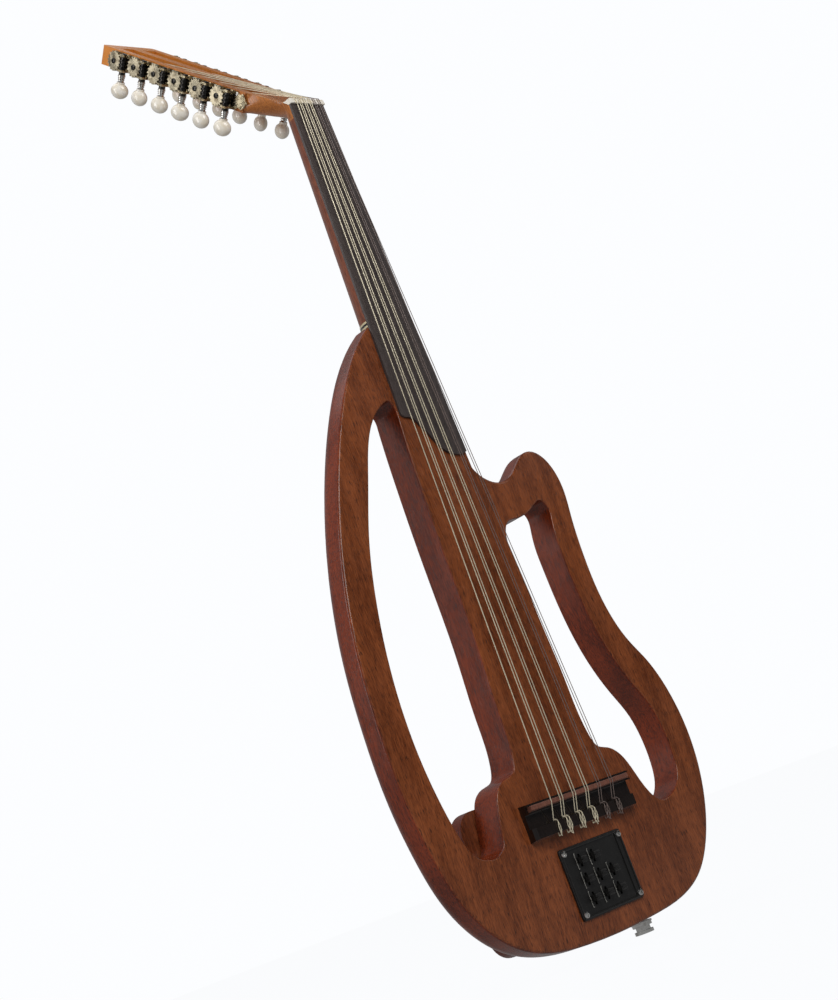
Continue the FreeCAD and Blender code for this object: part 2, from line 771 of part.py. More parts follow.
tie_pocket.setExpression(
    "Length", "sizes.saddle_height - sizes.bridge_bottom + sizes.tie_block + 1")
doc.recompute()
if not bridge.Shape.Volume < before_holes - 50:
    raise RuntimeError("the tie holes did not cut the bridge")

saddle, _ = profile_body("saddle", [
    (join(strip_floor, total("-glue_gap")), join(strip_top, total("-glue_gap"))),
    (total("-saddle_bar_rise"), join(strip_top, total("-glue_gap"))),
    (total("-saddle_rise"), join(strip_top, total("-saddle_crown"))),
    (total("-saddle_rise"), join(strip_low, total("saddle_crown"))),
    (total("-saddle_bar_rise"), join(strip_low, total("glue_gap"))),
    (join(strip_floor, total("-glue_gap")), join(strip_low, total("glue_gap"))),
], "2 * (sizes.bridge_half_length - sizes.bridge_end_chamfer)")

nut_low = total("saddle_height", "scale_length")
nut_top = total("saddle_height", "scale_length", "nut_thickness")
nut_rake = (size("nut_thickness") * math.tan(head_angle),
            "sizes.nut_thickness * tan(sizes.head_angle)")
nut, _ = profile_body("nut", [
    (ground, nut_low),
    (total("-nut_rise"), nut_low),
    (total("-nut_rise", "nut_back_drop"), nut_top),
    (nut_rake, nut_top),
], "2 * sizes.board_half_at_nut + 0.6")

# --------------------------------------------------------------------------
# Strings: tie block, saddle, nut, then down to the rollers
# --------------------------------------------------------------------------
string_radius = size("string_radius")
saddle_z = size("saddle_height")
saddle_y = -size("saddle_rise") - string_radius - 0.03
nut_y = -size("nut_rise") - string_radius - 0.03
nut_z = nut_height + 0.4
nut_back = Vector(0, size("nut_back_drop") - size("nut_rise") - string_radius - 0.1,
                  nut_height + size("nut_thickness") + 0.35)
tie_low = saddle_z - size("bridge_bottom") - 1.5
tie_high = saddle_z - size("bridge_bottom") + size("tie_block") + 1.0
roller_y = gear_depth - roller - string_radius - size("running_gap")


def wire_rod(points):
    """Round rod of one string along straight runs, with round bends."""
    pieces = []
    for first, second in zip(points, points[1:]):
        run = second - first
        pieces.append(Part.makeCylinder(string_radius, run.Length, first, run))
    for bend in points[1:-1]:
        pieces.append(Part.makeSphere(string_radius, bend))
    return pieces[0].fuse(pieces[1:])


def string_line(number):
    """Path of one string, counted from the bass side."""
    if number < 6:
        reach, x_end = tuner_reach[number], -(16.5 - 0.9 * number)
    else:
        reach, x_end = tuner_reach[10 - number], 16.5 - 0.9 * (10 - number)
    return [Vector(saddle_x[number], hole_y, tie_low),
            Vector(saddle_x[number], hole_y, tie_high),
            Vector(saddle_x[number], saddle_y, saddle_z),
            Vector(nut_x[number], nut_y, nut_z),
            Vector(nut_x[number], nut_back.y, nut_back.z),
            on_head(x_end, roller_y, reach)]


strings = feature("strings", Part.makeCompound(
    [wire_rod(string_line(number)) for number in range(11)]))

# --------------------------------------------------------------------------
# Preamp: panel, box, screws and sliders
# --------------------------------------------------------------------------
panel_rise = size("panel_rise")
stem_gap = 0.3
slot_half_x = size("slider_stem_width") / 2 + stem_gap
slot_half_z = size("slider_stem_height") / 2 + size("slider_half_travel") + stem_gap
slider_spots = [(column, row) for column in range(3) for row in range(3)
                if (column, row) != (2, 0)]


def slider_x(column):
    """X of a column of sliders."""
    return preamp_x + (column - 1) * size("slider_pitch_x") - 1.5


def slider_z(row):
    """Z of a row of sliders, counted from the top."""
    return preamp_z + (1 - row) * size("slider_pitch_z") + 0.5


def slider_slots(y_low, y_high):
    """Cuts for the slider stems, through the given depths."""
    return [block(slot_half_x, y_low, y_high, slider_z(row) - slot_half_z,
                  slider_z(row) + slot_half_z, slider_x(column))
            for column, row in slider_spots]


panel_solid = block(size("panel_half_width"), -panel_rise, 0,
                    preamp_z - size("panel_half_height"),
                    preamp_z + size("panel_half_height"), preamp_x)
upright = [e for e in panel_solid.Edges if e.BoundBox.YLength > panel_rise / 2]
panel_solid = panel_solid.makeFillet(size("panel_corner"), upright)
panel_solid = panel_solid.makeFillet(0.8, edges_at(panel_solid, -panel_rise))
field = block(size("preamp_box_half_width"), -panel_rise - 1, -panel_rise + 0.6,
              preamp_z - size("panel_half_height") + 2.6,
              preamp_z + size("panel_half_height") - 2.6, preamp_x)
panel_holes = [Part.makeCylinder(size("panel_screw_radius") + gap, 10,
                                 spot - Vector(0, 5, 0), Vector(0, 1, 0))
               for spot in screw_spots]
preamp_panel = feature("preamp_panel", panel_solid.cut(
    [field] + panel_holes + slider_slots(-5, 1)))

box_solid = block(box_half_x, 0, size("preamp_box_depth"), preamp_z - box_half_z,
                  preamp_z + box_half_z, preamp_x)
preamp_box = feature("preamp_box", box_solid.cut(
    slider_slots(-1, size("slider_stem_depth") + 2 * stem_gap)))

head_rise = size("panel_screw_head_rise")
screws = []
for spot in screw_spots:
    start = spot - Vector(0, panel_rise, 0)
    shank = Part.makeCylinder(size("panel_screw_radius"),
                              size("panel_screw_length") + panel_rise - gap, start,
                              Vector(0, 1, 0))
    head = Part.makeCylinder(size("panel_screw_head"), head_rise,
                             start - Vector(0, head_rise, 0), Vector(0, 1, 0))
    head = head.makeFillet(head_rise / 2, [e for e in head.Edges
                                           if e.BoundBox.YMax < start.y - 0.9 * head_rise])
    screws.append(head.fuse(shank).removeSplitter())
preamp_screws = feature("preamp_screws", Part.makeCompound(screws))

cap_half = size("slider_cap_width") / 2
cap_half_z = size("slider_cap_height") / 2
cap_low = -panel_rise - stem_gap - size("slider_cap_rise")
cap = block(cap_half, cap_low, -panel_rise - stem_gap, -cap_half_z, cap_half_z)
cap = cap.makeFillet(0.7, edges_at(cap, cap_low))
finger_line = block(cap_half + 1, cap_low - 1, cap_low + 0.5, -0.4, 0.4)
stem = block(size("slider_stem_width") / 2, -panel_rise - stem_gap - 0.5,
             size("slider_stem_depth"), -size("slider_stem_height") / 2,
             size("slider_stem_height") / 2)
slider_shape = cap.cut(finger_line).fuse(stem).removeSplitter()
for column, row in slider_spots:
    feature("slider_%d_%d" % (column + 1, row + 1), slider_shape.copy(),
            Placement(Vector(slider_x(column), 0, slider_z(row)), Rotation()))

# --------------------------------------------------------------------------
# Output jack at the tail
# --------------------------------------------------------------------------


def cylinder(name, radius, low, high):
    """Cylinder on the jack's axis, bound to sheet expressions."""
    item = doc.addObject("Part::Cylinder", name)
    item.setExpression("Radius", radius)
    item.setExpression("Height", "(%s) - (%s)" % (high, low))
    item.setExpression("Placement.Base.x", "sizes.jack_x")
    item.setExpression("Placement.Base.y", "sizes.body_thickness / 2")
    item.setExpression("Placement.Base.z", low)
    return item


barrel = cylinder("jack_barrel", "sizes.jack_barrel_radius", "-sizes.jack_rise",
                  "sizes.jack_sunk")
flange = cylinder("jack_flange", "sizes.jack_flange_radius", "-sizes.jack_rise",
                  "-sizes.jack_rise + 2.4")
washer = cylinder("jack_washer", "sizes.jack_flange_radius + 1", "-1.4", "-0.2")
jack_bore = cylinder("jack_bore", "sizes.jack_bore_radius", "-sizes.jack_rise - 1",
                     "sizes.jack_sunk - 2")
hex_nut = doc.addObject("Part::Prism", "jack_nut")
hex_nut.Polygon = 6
hex_nut.setExpression("Circumradius", "sizes.jack_flange_radius + 0.4")
hex_nut.Height = 2.2
hex_nut.setExpression("Placement.Base.x", "sizes.jack_x")
hex_nut.setExpression("Placement.Base.y", "sizes.body_thickness / 2")
hex_nut.Placement.Base.z = -3.6
jack_body = doc.addObject("Part::MultiFuse", "jack_body")
jack_body.Shapes = [barrel, flange, washer, hex_nut]
output_jack = doc.addObject("Part::Cut", "output_jack")
output_jack.Base = jack_body
output_jack.Tool = jack_bore
keep(output_jack, "output_jack")

# --------------------------------------------------------------------------
# Check and export
# --------------------------------------------------------------------------
doc.recompute()
for item in doc.Objects:
    if "Invalid" in item.State or "Error" in item.State:
        raise RuntimeError("%s did not compute" % item.Name)
for node in nodes:
    if node.Shape.isNull() or not node.Shape.isValid() or not node.Shape.Solids:
        raise RuntimeError("%s has no valid solid" % node.Label)

os.makedirs("parts", exist_ok=True)
for node in nodes:
    node.Shape.exportStep("parts/%s.step" % node.Label)
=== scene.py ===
"""Looks of a frame-body electric oud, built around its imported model.

Metres, in the row frame: +Z up along the neck, +X to the right of someone who
faces the instrument, +Y to its back.  The body, neck, bridge and machines come
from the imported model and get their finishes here; strings, string ties, screws,
ferrules and slider marks are added as pieces of their own.
"""
from __future__ import annotations

import json
import logging
import math
from collections.abc import Iterable, Sequence
from dataclasses import dataclass, field
from enum import Enum

import bmesh
import bpy
from mathutils import Euler, Matrix, Vector

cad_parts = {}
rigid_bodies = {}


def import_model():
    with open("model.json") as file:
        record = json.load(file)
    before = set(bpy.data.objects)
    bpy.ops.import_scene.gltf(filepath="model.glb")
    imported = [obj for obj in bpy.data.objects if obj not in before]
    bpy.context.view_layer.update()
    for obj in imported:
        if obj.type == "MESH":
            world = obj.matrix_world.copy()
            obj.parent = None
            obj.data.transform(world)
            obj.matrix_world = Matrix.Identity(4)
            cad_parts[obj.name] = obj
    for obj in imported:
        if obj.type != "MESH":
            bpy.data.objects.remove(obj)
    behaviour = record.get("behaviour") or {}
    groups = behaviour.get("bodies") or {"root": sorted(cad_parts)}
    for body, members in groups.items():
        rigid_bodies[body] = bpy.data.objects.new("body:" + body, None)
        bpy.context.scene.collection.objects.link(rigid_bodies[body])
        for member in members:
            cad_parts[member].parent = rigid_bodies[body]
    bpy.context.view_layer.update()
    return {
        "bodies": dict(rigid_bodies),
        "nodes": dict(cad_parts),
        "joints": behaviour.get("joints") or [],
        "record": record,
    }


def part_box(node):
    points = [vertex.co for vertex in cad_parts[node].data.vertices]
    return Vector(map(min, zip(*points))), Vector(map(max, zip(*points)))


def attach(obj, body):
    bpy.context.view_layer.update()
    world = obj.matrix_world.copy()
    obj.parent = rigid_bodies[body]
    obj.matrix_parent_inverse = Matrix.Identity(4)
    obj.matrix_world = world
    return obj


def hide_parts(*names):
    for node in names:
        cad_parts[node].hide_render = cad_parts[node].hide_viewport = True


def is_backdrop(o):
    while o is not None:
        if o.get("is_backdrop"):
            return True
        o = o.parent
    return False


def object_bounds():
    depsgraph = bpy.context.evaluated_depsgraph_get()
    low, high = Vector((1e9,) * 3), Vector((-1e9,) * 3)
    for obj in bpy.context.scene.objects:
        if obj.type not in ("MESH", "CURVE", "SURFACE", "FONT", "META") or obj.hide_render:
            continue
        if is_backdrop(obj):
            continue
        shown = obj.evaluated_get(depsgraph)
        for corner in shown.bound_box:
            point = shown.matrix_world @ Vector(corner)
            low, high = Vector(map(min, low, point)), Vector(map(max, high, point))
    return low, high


log = logging.getLogger("oud")

MM = 0.001
GRIT_SCALE = 5200.0
Colour = tuple[float, float, float, float]
Value = float | Sequence[float] | bpy.types.NodeSocket
Palette = dict[str, bpy.types.Material]


def tone(code: str) -> Colour:
    """Linear colour of a six-figure hex code.

    Args:
        code: red, green and blue as two hex figures each.

    Returns:
        The linear colour with full alpha.
    """
    parts = [int(code[n:n + 2], 16) / 255 for n in (0, 2, 4)]
    linear = [p / 12.92 if p <= 0.04045 else ((p + 0.055) / 1.055) ** 2.4 for p in parts]
    return (linear[0], linear[1], linear[2], 1.0)


class Side(Enum):
    """The two sides of the head, by the sign of X."""

    BASS = -1
    TREBLE = 1

    @property
    def word(self) -> str:
        """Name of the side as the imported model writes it."""
        return self.name.lower()


# ---------------------------------------------------------------------------
# Shader nodes
# ---------------------------------------------------------------------------
class Graph:
    """Adds and links the nodes of one shader tree."""

    def __init__(self, tree: bpy.types.NodeTree) -> None:
        """Keep the tree to work in.

        Args:
            tree: a material's, world's or group's node tree.
        """
        self.tree = tree

    def feed(self, socket: bpy.types.NodeSocket, value: Value) -> None:
        """Link a socket, or set its plain value.

        Args:
            socket: the input to fill.
            value: another node's output, a number, a vector or a colour.
        """
        if isinstance(value, bpy.types.NodeSocket):
            self.tree.links.new(value, socket)
        else:
            socket.default_value = value

    def add(self, kind: str, inputs: dict[str | int, Value] | None = None,
            **settings: object) -> bpy.types.Node:
        """Add a node.

        Args:
            kind: the node's type, without "ShaderNode".
            inputs: values or outputs for its inputs, by name or index.
            settings: properties of the node.

        Returns:
            The new node.
        """
        node = self.tree.nodes.new("ShaderNode" + kind)
        for name, setting in settings.items():
            setattr(node, name, setting)
        return self.fill(node, inputs or {})

    def fill(self, node: bpy.types.Node,
             inputs: dict[str | int, Value]) -> bpy.types.Node:
        """Feed several inputs of a node, and give the node back."""
        for name, value in inputs.items():
            self.feed(node.inputs[name], value)
        return node

    def maths(self, operation: str, first: Value, second: Value = 0.0,
              third: Value = 0.0) -> bpy.types.NodeSocket:
        """Result of a Math node."""
        return self.add("Math", {0: first, 1: second, 2: third},
                        operation=operation).outputs[0]

    def scaled(self, vector: Value, scale: Sequence[float],
               turn: Sequence[float] = (0.0, 0.0, 0.0)) -> bpy.types.NodeSocket:
        """Vector stretched, and turned, by a Mapping node."""
        return self.add("Mapping", {"Vector": vector, "Scale": scale,
                                    "Rotation": turn}).outputs[0]

    def noise(self, vector: Value, scale: Value, detail: float = 2.0,
              roughness: float = 0.5, distortion: float = 0.0) -> bpy.types.NodeSocket:
        """Value of a Noise texture."""
        return self.add("TexNoise", {
            "Vector": vector, "Scale": scale, "Detail": detail,
            "Roughness": roughness, "Distortion": distortion}).outputs[0]

    def span(self, value: Value, low: float, high: float, start: Value = 0.0,
             end: Value = 1.0) -> bpy.types.NodeSocket:
        """Value moved smoothly from the range low to high into start to end."""
        return self.add("MapRange", {"Value": value, "From Min": low, "From Max": high,
                                     "To Min": start, "To Max": end},
                        interpolation_type="SMOOTHSTEP").outputs[0]

    def blend(self, factor: Value, first: Value, second: Value,
              mode: str = "MIX") -> bpy.types.NodeSocket:
        """Two colours mixed by a factor."""
        node = self.add("Mix", data_type="RGBA", blend_type=mode)
        self.feed(node.inputs["Factor"], factor)
        self.feed(node.inputs[6], first)
        self.feed(node.inputs[7], second)
        return node.outputs[2]

    def place(self) -> bpy.types.NodeSocket:
        """Object coordinates, in metres."""
        return self.add("TexCoord").outputs["Object"]

    def group(self, tree: bpy.types.NodeTree,
              inputs: dict[str, Value]) -> bpy.types.Node:
        """Place a shared node group with its own values.

        Args:
            tree: the group.
            inputs: values or outputs for its inputs.

        Returns:
            The group node.
        """
        node = self.tree.nodes.new("ShaderNodeGroup")
        node.node_tree = tree
        return self.fill(node, inputs)


def new_group(name: str, inputs: dict[str, tuple[str, object]],
              outputs: dict[str, str]) -> tuple[Graph, bpy.types.Node, bpy.types.Node]:
    """Start a shader node group.

    Args:
        name: the group's name.
        inputs: socket kind and default by input name.
        outputs: socket kind by output name.

    Returns:
        Its graph, input node and output node.
    """
    tree = bpy.data.node_groups.new(name, "ShaderNodeTree")
    for label, (kind, default) in inputs.items():
        socket = tree.interface.new_socket(label, in_out="INPUT",
                                           socket_type="NodeSocket" + kind)
        if default is not None:
            socket.default_value = default
    for label, kind in outputs.items():
        tree.interface.new_socket(label, in_out="OUTPUT", socket_type="NodeSocket" + kind)
    return (Graph(tree), tree.nodes.new("NodeGroupInput"),
            tree.nodes.new("NodeGroupOutput"))


def wood_group() -> bpy.types.NodeTree:
    """Interlocked timber with its grain along Z: colour, pores and relief."""
    graph, source, result = new_group(
        "interlocked_wood",
        {"Vector": ("Vector", None), "Pale": ("Color", tone("96543a")),
         "Deep": ("Color", tone("48220f")), "Pore": ("Color", tone("200c06")),
         "Coarseness": ("Float", 1.0), "Ribbon": ("Float", 0.5),
         "Pores": ("Float", 0.6)},
        {"Color": "Color", "Pores": "Float", "Relief": "Float"})
    place = graph.add("VectorMath", {0: source.outputs["Vector"]}, operation="SCALE")
    graph.feed(place.inputs["Scale"], source.outputs["Coarseness"])
    drift = graph.noise(graph.scaled(place.outputs[0], (1, 1, 0.5)), 9.0)
    swing = graph.add("CombineXYZ", {0: graph.maths("MULTIPLY", drift, 0.035)})
    grain = graph.add("VectorMath", {0: place.outputs[0], 1: swing.outputs[0]},
                      operation="ADD").outputs[0]
    ribbon = graph.noise(graph.scaled(grain, (1, 1, 0.10)), 62.0, 1.0)
    rising = graph.noise(graph.scaled(grain, (1, 1, 0.13), (0, math.radians(13), 0)),
                         900.0, 3.0, 0.62)
    falling = graph.noise(graph.scaled(grain, (1, 1, 0.13), (0, math.radians(-15), 0)),
                          820.0, 3.0, 0.62)
    slanted = graph.blend(graph.span(ribbon, 0.44, 0.56), rising, falling)
    fibre = graph.noise(graph.scaled(grain, (1, 1, 0.035)), 1700.0, 2.0, 0.6)
    cloud = graph.noise(grain, 26.0, 2.0)
    lean = graph.maths("MULTIPLY", graph.span(ribbon, 0.36, 0.64, -0.5, 0.5),
                       source.outputs["Ribbon"])
    figure = graph.maths("MULTIPLY_ADD", slanted, 0.62,
                         graph.maths("MULTIPLY", fibre, 0.38))
    figure = graph.maths("ADD", figure, graph.maths("MULTIPLY", lean, 0.20))
    figure = graph.maths("MULTIPLY_ADD", graph.maths("SUBTRACT", cloud, 0.5), 0.16, figure)
    colour = graph.blend(graph.span(figure, 0.26, 0.74), source.outputs["Deep"],
                         source.outputs["Pale"])
    pore = graph.noise(graph.scaled(grain, (1, 1, 0.09)), 1700.0, 1.0, 0.4)
    pore = graph.maths("MULTIPLY", graph.span(pore, 0.58, 0.70),
                       source.outputs["Pores"])
    colour = graph.blend(pore, colour, source.outputs["Pore"])
    relief = graph.maths("SUBTRACT", graph.maths("MULTIPLY", fibre, 0.35), pore)
    graph.feed(result.inputs["Color"], colour)
    graph.feed(result.inputs["Pores"], pore)
    graph.feed(result.inputs["Relief"], relief)
    return graph.tree


def handling_group() -> bpy.types.NodeTree:
    """Smears and dust of a handled surface, as a roughness and a dust mask."""
    graph, source, result = new_group(
        "handling",
        {"Vector": ("Vector", None), "Clean": ("Float", 0.2), "Smeared": ("Float", 0.35),
         "Size": ("Float", 40.0)},
        {"Roughness": "Float", "Dust": "Float"})
    smear = graph.noise(graph.scaled(source.outputs["Vector"], (1, 1, 0.6)),
                        source.outputs["Size"], 4.0, 0.6, 0.6)
    graph.feed(result.inputs["Roughness"],
               graph.span(smear, 0.35, 0.70, source.outputs["Clean"],
                          source.outputs["Smeared"]))
    speck = graph.noise(source.outputs["Vector"], 2600.0, 1.0)
    graph.feed(result.inputs["Dust"], graph.span(speck, 0.70, 0.78))
    return graph.tree


def scroll_group() -> bpy.types.NodeTree:
    """Engraved scrolls for stamped metal, as a groove mask."""
    graph, source, result = new_group(
        "engraved_scroll",
        {"Vector": ("Vector", None), "Size": ("Float", 260.0)}, {"Groove": "Float"})
    swirl = graph.add("TexNoise", {"Vector": source.outputs["Vector"], "Scale": 120.0,
                                   "Detail": 1.0})
    bent = graph.add("VectorMath", {0: swirl.outputs["Color"], 1: (0.008,) * 3},
                     operation="MULTIPLY")
    place = graph.add("VectorMath", {0: source.outputs["Vector"], 1: bent.outputs[0]},
                      operation="ADD")
    cell = graph.add("TexVoronoi", {"Vector": place.outputs[0],
                                    "Scale": source.outputs["Size"]})
    ring = graph.maths("SINE", graph.maths("MULTIPLY", cell.outputs["Distance"], 17.0))
    graph.feed(result.inputs["Groove"], graph.span(ring, 0.30, 0.75))
    return graph.tree


@dataclass
class Groups:
    """The shader node groups that several finishes share."""

    wood: bpy.types.NodeTree = field(default_factory=wood_group)
    handling: bpy.types.NodeTree = field(default_factory=handling_group)
    scroll: bpy.types.NodeTree = field(default_factory=scroll_group)


def new_material(name: str) -> tuple[bpy.types.Material, Graph, bpy.types.Node]:
    """Start a material.

    Args:
        name: its name.

    Returns:
        The material, its graph and its Principled shader.
    """
    material = bpy.data.materials.new(name)
    material.use_nodes = True
    return (material, Graph(material.node_tree),
            material.node_tree.nodes["Principled BSDF"])


def add_bump(graph: Graph, shader: bpy.types.Node, height: Value, strength: float,
             distance: float) -> None:
    """Raise a material's surface by a height.

    Args:
        graph: the material's graph.
        shader: its Principled shader.
        height: the pattern to raise.
        strength: share of the effect.
        distance: depth of the relief in metres.
    """
    bump = graph.add("Bump", {"Strength": strength, "Distance": distance,
                              "Height": height})
    graph.feed(shader.inputs["Normal"], bump.outputs[0])


# ---------------------------------------------------------------------------
# Finishes
# ---------------------------------------------------------------------------
@dataclass(frozen=True)
class Finish:
    """A named surface that is made into a material."""

    name: str

    def build(self, groups: Groups) -> bpy.types.Material:
        """Make the material.

        Args:
            groups: the shared node groups.

        Returns:
            The material.
        """
        material, graph, shader = new_material(self.name)
        self.paint(graph, shader, groups)
        return material

    def paint(self, graph: Graph, shader: bpy.types.Node, groups: Groups) -> None:
        """Wire the material.

        Args:
            graph: the material's graph.
            shader: its Principled shader.
            groups: the shared node groups.
        """
        raise NotImplementedError


@dataclass(frozen=True)
class WoodFinish(Finish):
    """Lacquered or oiled wood.

    The side tint is painted shade, darkening what faces away from the face and back,
    and the tip tint is a painted highlight, brightening the wood between two heights.
    """

    pale: str
    deep: str
    pore: str
    coarseness: float = 1.0
    ribbon: float = 0.5
    pores: float = 0.6
    clean: float = 0.22
    smeared: float = 0.34
    coat: float = 0.35
    coat_roughness: float = 0.16
    # Painted shade: a colour that darkens the side walls; empty leaves it out.
    side: str = ""
    # Painted highlight: a bright colour blended in between the two heights of the span; empty
    # leaves it out.
    tip: str = ""
    tip_span: tuple[float, float] = (0.0, 1.0)
    relief: float = 0.25

    def paint(self, graph: Graph, shader: bpy.types.Node, groups: Groups) -> None:
        """Wire the material."""
        place = graph.place()
        wood = graph.group(groups.wood, {
            "Vector": place, "Pale": tone(self.pale), "Deep": tone(self.deep),
            "Pore": tone(self.pore), "Coarseness": self.coarseness,
            "Ribbon": self.ribbon, "Pores": self.pores})
        colour = wood.outputs["Color"]
        # Painted shade: darkens surfaces whose normal turns away from the face and back.
        if self.side:
            normal = graph.add("SeparateXYZ", {0: graph.add("TexCoord").outputs["Normal"]})
            facing = graph.maths("ABSOLUTE", normal.outputs[1])
            away = graph.span(facing, 0.35, 0.9, 1.0, 0.0)
            colour = graph.blend(away, colour, tone(self.side), "MULTIPLY")
        # Painted highlight: blends a bright colour into the wood between two heights.
        if self.tip:
            height = graph.add("SeparateXYZ", {0: place}).outputs[2]
            share = graph.span(height, *self.tip_span)
            colour = graph.blend(graph.maths("MULTIPLY", share, 0.65), colour,
                                 tone(self.tip))
        handled = graph.group(groups.handling, {
            "Vector": place, "Clean": self.clean, "Smeared": self.smeared})
        roughness = graph.maths("MULTIPLY_ADD", wood.outputs["Pores"], 0.2,
                                handled.outputs["Roughness"])
        graph.fill(shader, {
            "Base Color": colour, "Roughness": roughness, "Coat Weight": self.coat,
            "Coat Roughness": self.coat_roughness, "Specular IOR Level": 0.2})
        add_bump(graph, shader, wood.outputs["Relief"], self.relief, 0.15 * MM)


@dataclass(frozen=True)
class MouldedFinish(Finish):
    """Plastic, horn or lacquer: a mottled colour with handling marks."""

    base: str
    mottle: str
    mottle_scale: float = 300.0
    clean: float = 0.3
    smeared: float = 0.42
    coat: float = 0.0
    grit: float = 0.0

    def paint(self, graph: Graph, shader: bpy.types.Node, groups: Groups) -> None:
        """Wire the material."""
        place = graph.place()
        cloud = graph.noise(place, self.mottle_scale, 3.0, 0.55, 0.8)
        handled = graph.group(groups.handling, {
            "Vector": place, "Clean": self.clean, "Smeared": self.smeared, "Size": 110.0})
        colour = graph.blend(graph.span(cloud, 0.35, 0.65), tone(self.base),
                             tone(self.mottle))
        colour = graph.blend(graph.maths("MULTIPLY", handled.outputs["Dust"], 0.25),
                             colour, tone("9c958c"))
        graph.fill(shader, {
            "Base Color": colour, "Roughness": handled.outputs["Roughness"],
            "Coat Weight": self.coat, "Coat Roughness": 0.08})
        if self.grit:
            add_bump(graph, shader, graph.noise(place, GRIT_SCALE, 2.0),
                     self.grit, 0.1 * MM)


@dataclass(frozen=True)
class MetalFinish(Finish):
    """Plated or bare metal, brushed, tarnished and sometimes engraved."""

    base: str
    tarnish: str
    clean: float = 0.16
    smeared: float = 0.34
    engraved: bool = False
    brushed: tuple[float, float, float] = (1.0, 1.0, 1.0)

    def paint(self, graph: Graph, shader: bpy.types.Node, groups: Groups) -> None:
        """Wire the material."""
        place = graph.place()
        cloud = graph.noise(place, 190.0, 4.0, 0.6)
        handled = graph.group(groups.handling, {
            "Vector": place, "Clean": self.clean, "Smeared": self.smeared, "Size": 160.0})
        brush = graph.noise(graph.scaled(place, self.brushed), 2400.0, 2.0)
        colour = graph.blend(graph.span(cloud, 0.45, 0.72), tone(self.base),
                             tone(self.tarnish))
        height = graph.maths("MULTIPLY", brush, 0.3)
        if self.engraved:
            groove = graph.group(groups.scroll, {"Vector": place}).outputs["Groove"]
            colour = graph.blend(graph.maths("MULTIPLY", groove, 0.7), colour,
                                 tone("3a2f22"))
            height = graph.maths("SUBTRACT", height, groove)
        graph.fill(shader, {"Base Color": colour, "Metallic": 1.0,
                            "Roughness": handled.outputs["Roughness"]})
        add_bump(graph, shader, height, 0.35, 0.12 * MM)


@dataclass(frozen=True)
class BindingFinish(Finish):
    """Cream, black and cream layers stacked along Z."""

    low: float
    high: float
    cream: str = "e6d9b4"
    dark: str = "17100c"

    def paint(self, graph: Graph, shader: bpy.types.Node, groups: Groups) -> None:
        """Wire the material."""
        place = graph.place()
        height = graph.add("SeparateXYZ", {0: place}).outputs[2]
        share = graph.maths("DIVIDE", graph.maths("SUBTRACT", height, self.low),
                            self.high - self.low)
        away = graph.maths("ABSOLUTE", graph.maths("SUBTRACT", share, 0.5))
        cloud = graph.noise(place, 900.0, 3.0)
        cream = graph.blend(cloud, tone(self.cream), tone("c9b88c"))
        handled = graph.group(groups.handling, {
            "Vector": place, "Clean": 0.22, "Smeared": 0.34, "Size": 120.0})
        colour = graph.blend(graph.span(away, 0.17, 0.20), tone(self.dark), cream)
        graph.fill(shader, {
            "Base Color": colour, "Roughness": handled.outputs["Roughness"],
            "Coat Weight": 0.6})


@dataclass(frozen=True)
class WireFinish(Finish):
    """String wire, wound or plain."""

    base: str
    dark: str
    metallic: float
    roughness: float
    winding: float

    def paint(self, graph: Graph, shader: bpy.types.Node, groups: Groups) -> None:
        """Wire the material."""
        place = graph.place()
        coil = graph.add("TexWave", {"Vector": place, "Scale": self.winding,
                                     "Distortion": 0.4}, bands_direction="Z")
        cloud = graph.noise(place, 220.0, 2.0)
        shade = graph.maths("MULTIPLY_ADD", coil.outputs[1], 0.35,
                            graph.maths("MULTIPLY", cloud, 0.5))
        handled = graph.group(groups.handling, {
            "Vector": place, "Clean": self.roughness, "Smeared": self.roughness + 0.12})
        graph.fill(shader, {
            "Base Color": graph.blend(shade, tone(self.base), tone(self.dark)),
            "Roughness": handled.outputs["Roughness"], "Metallic": self.metallic})


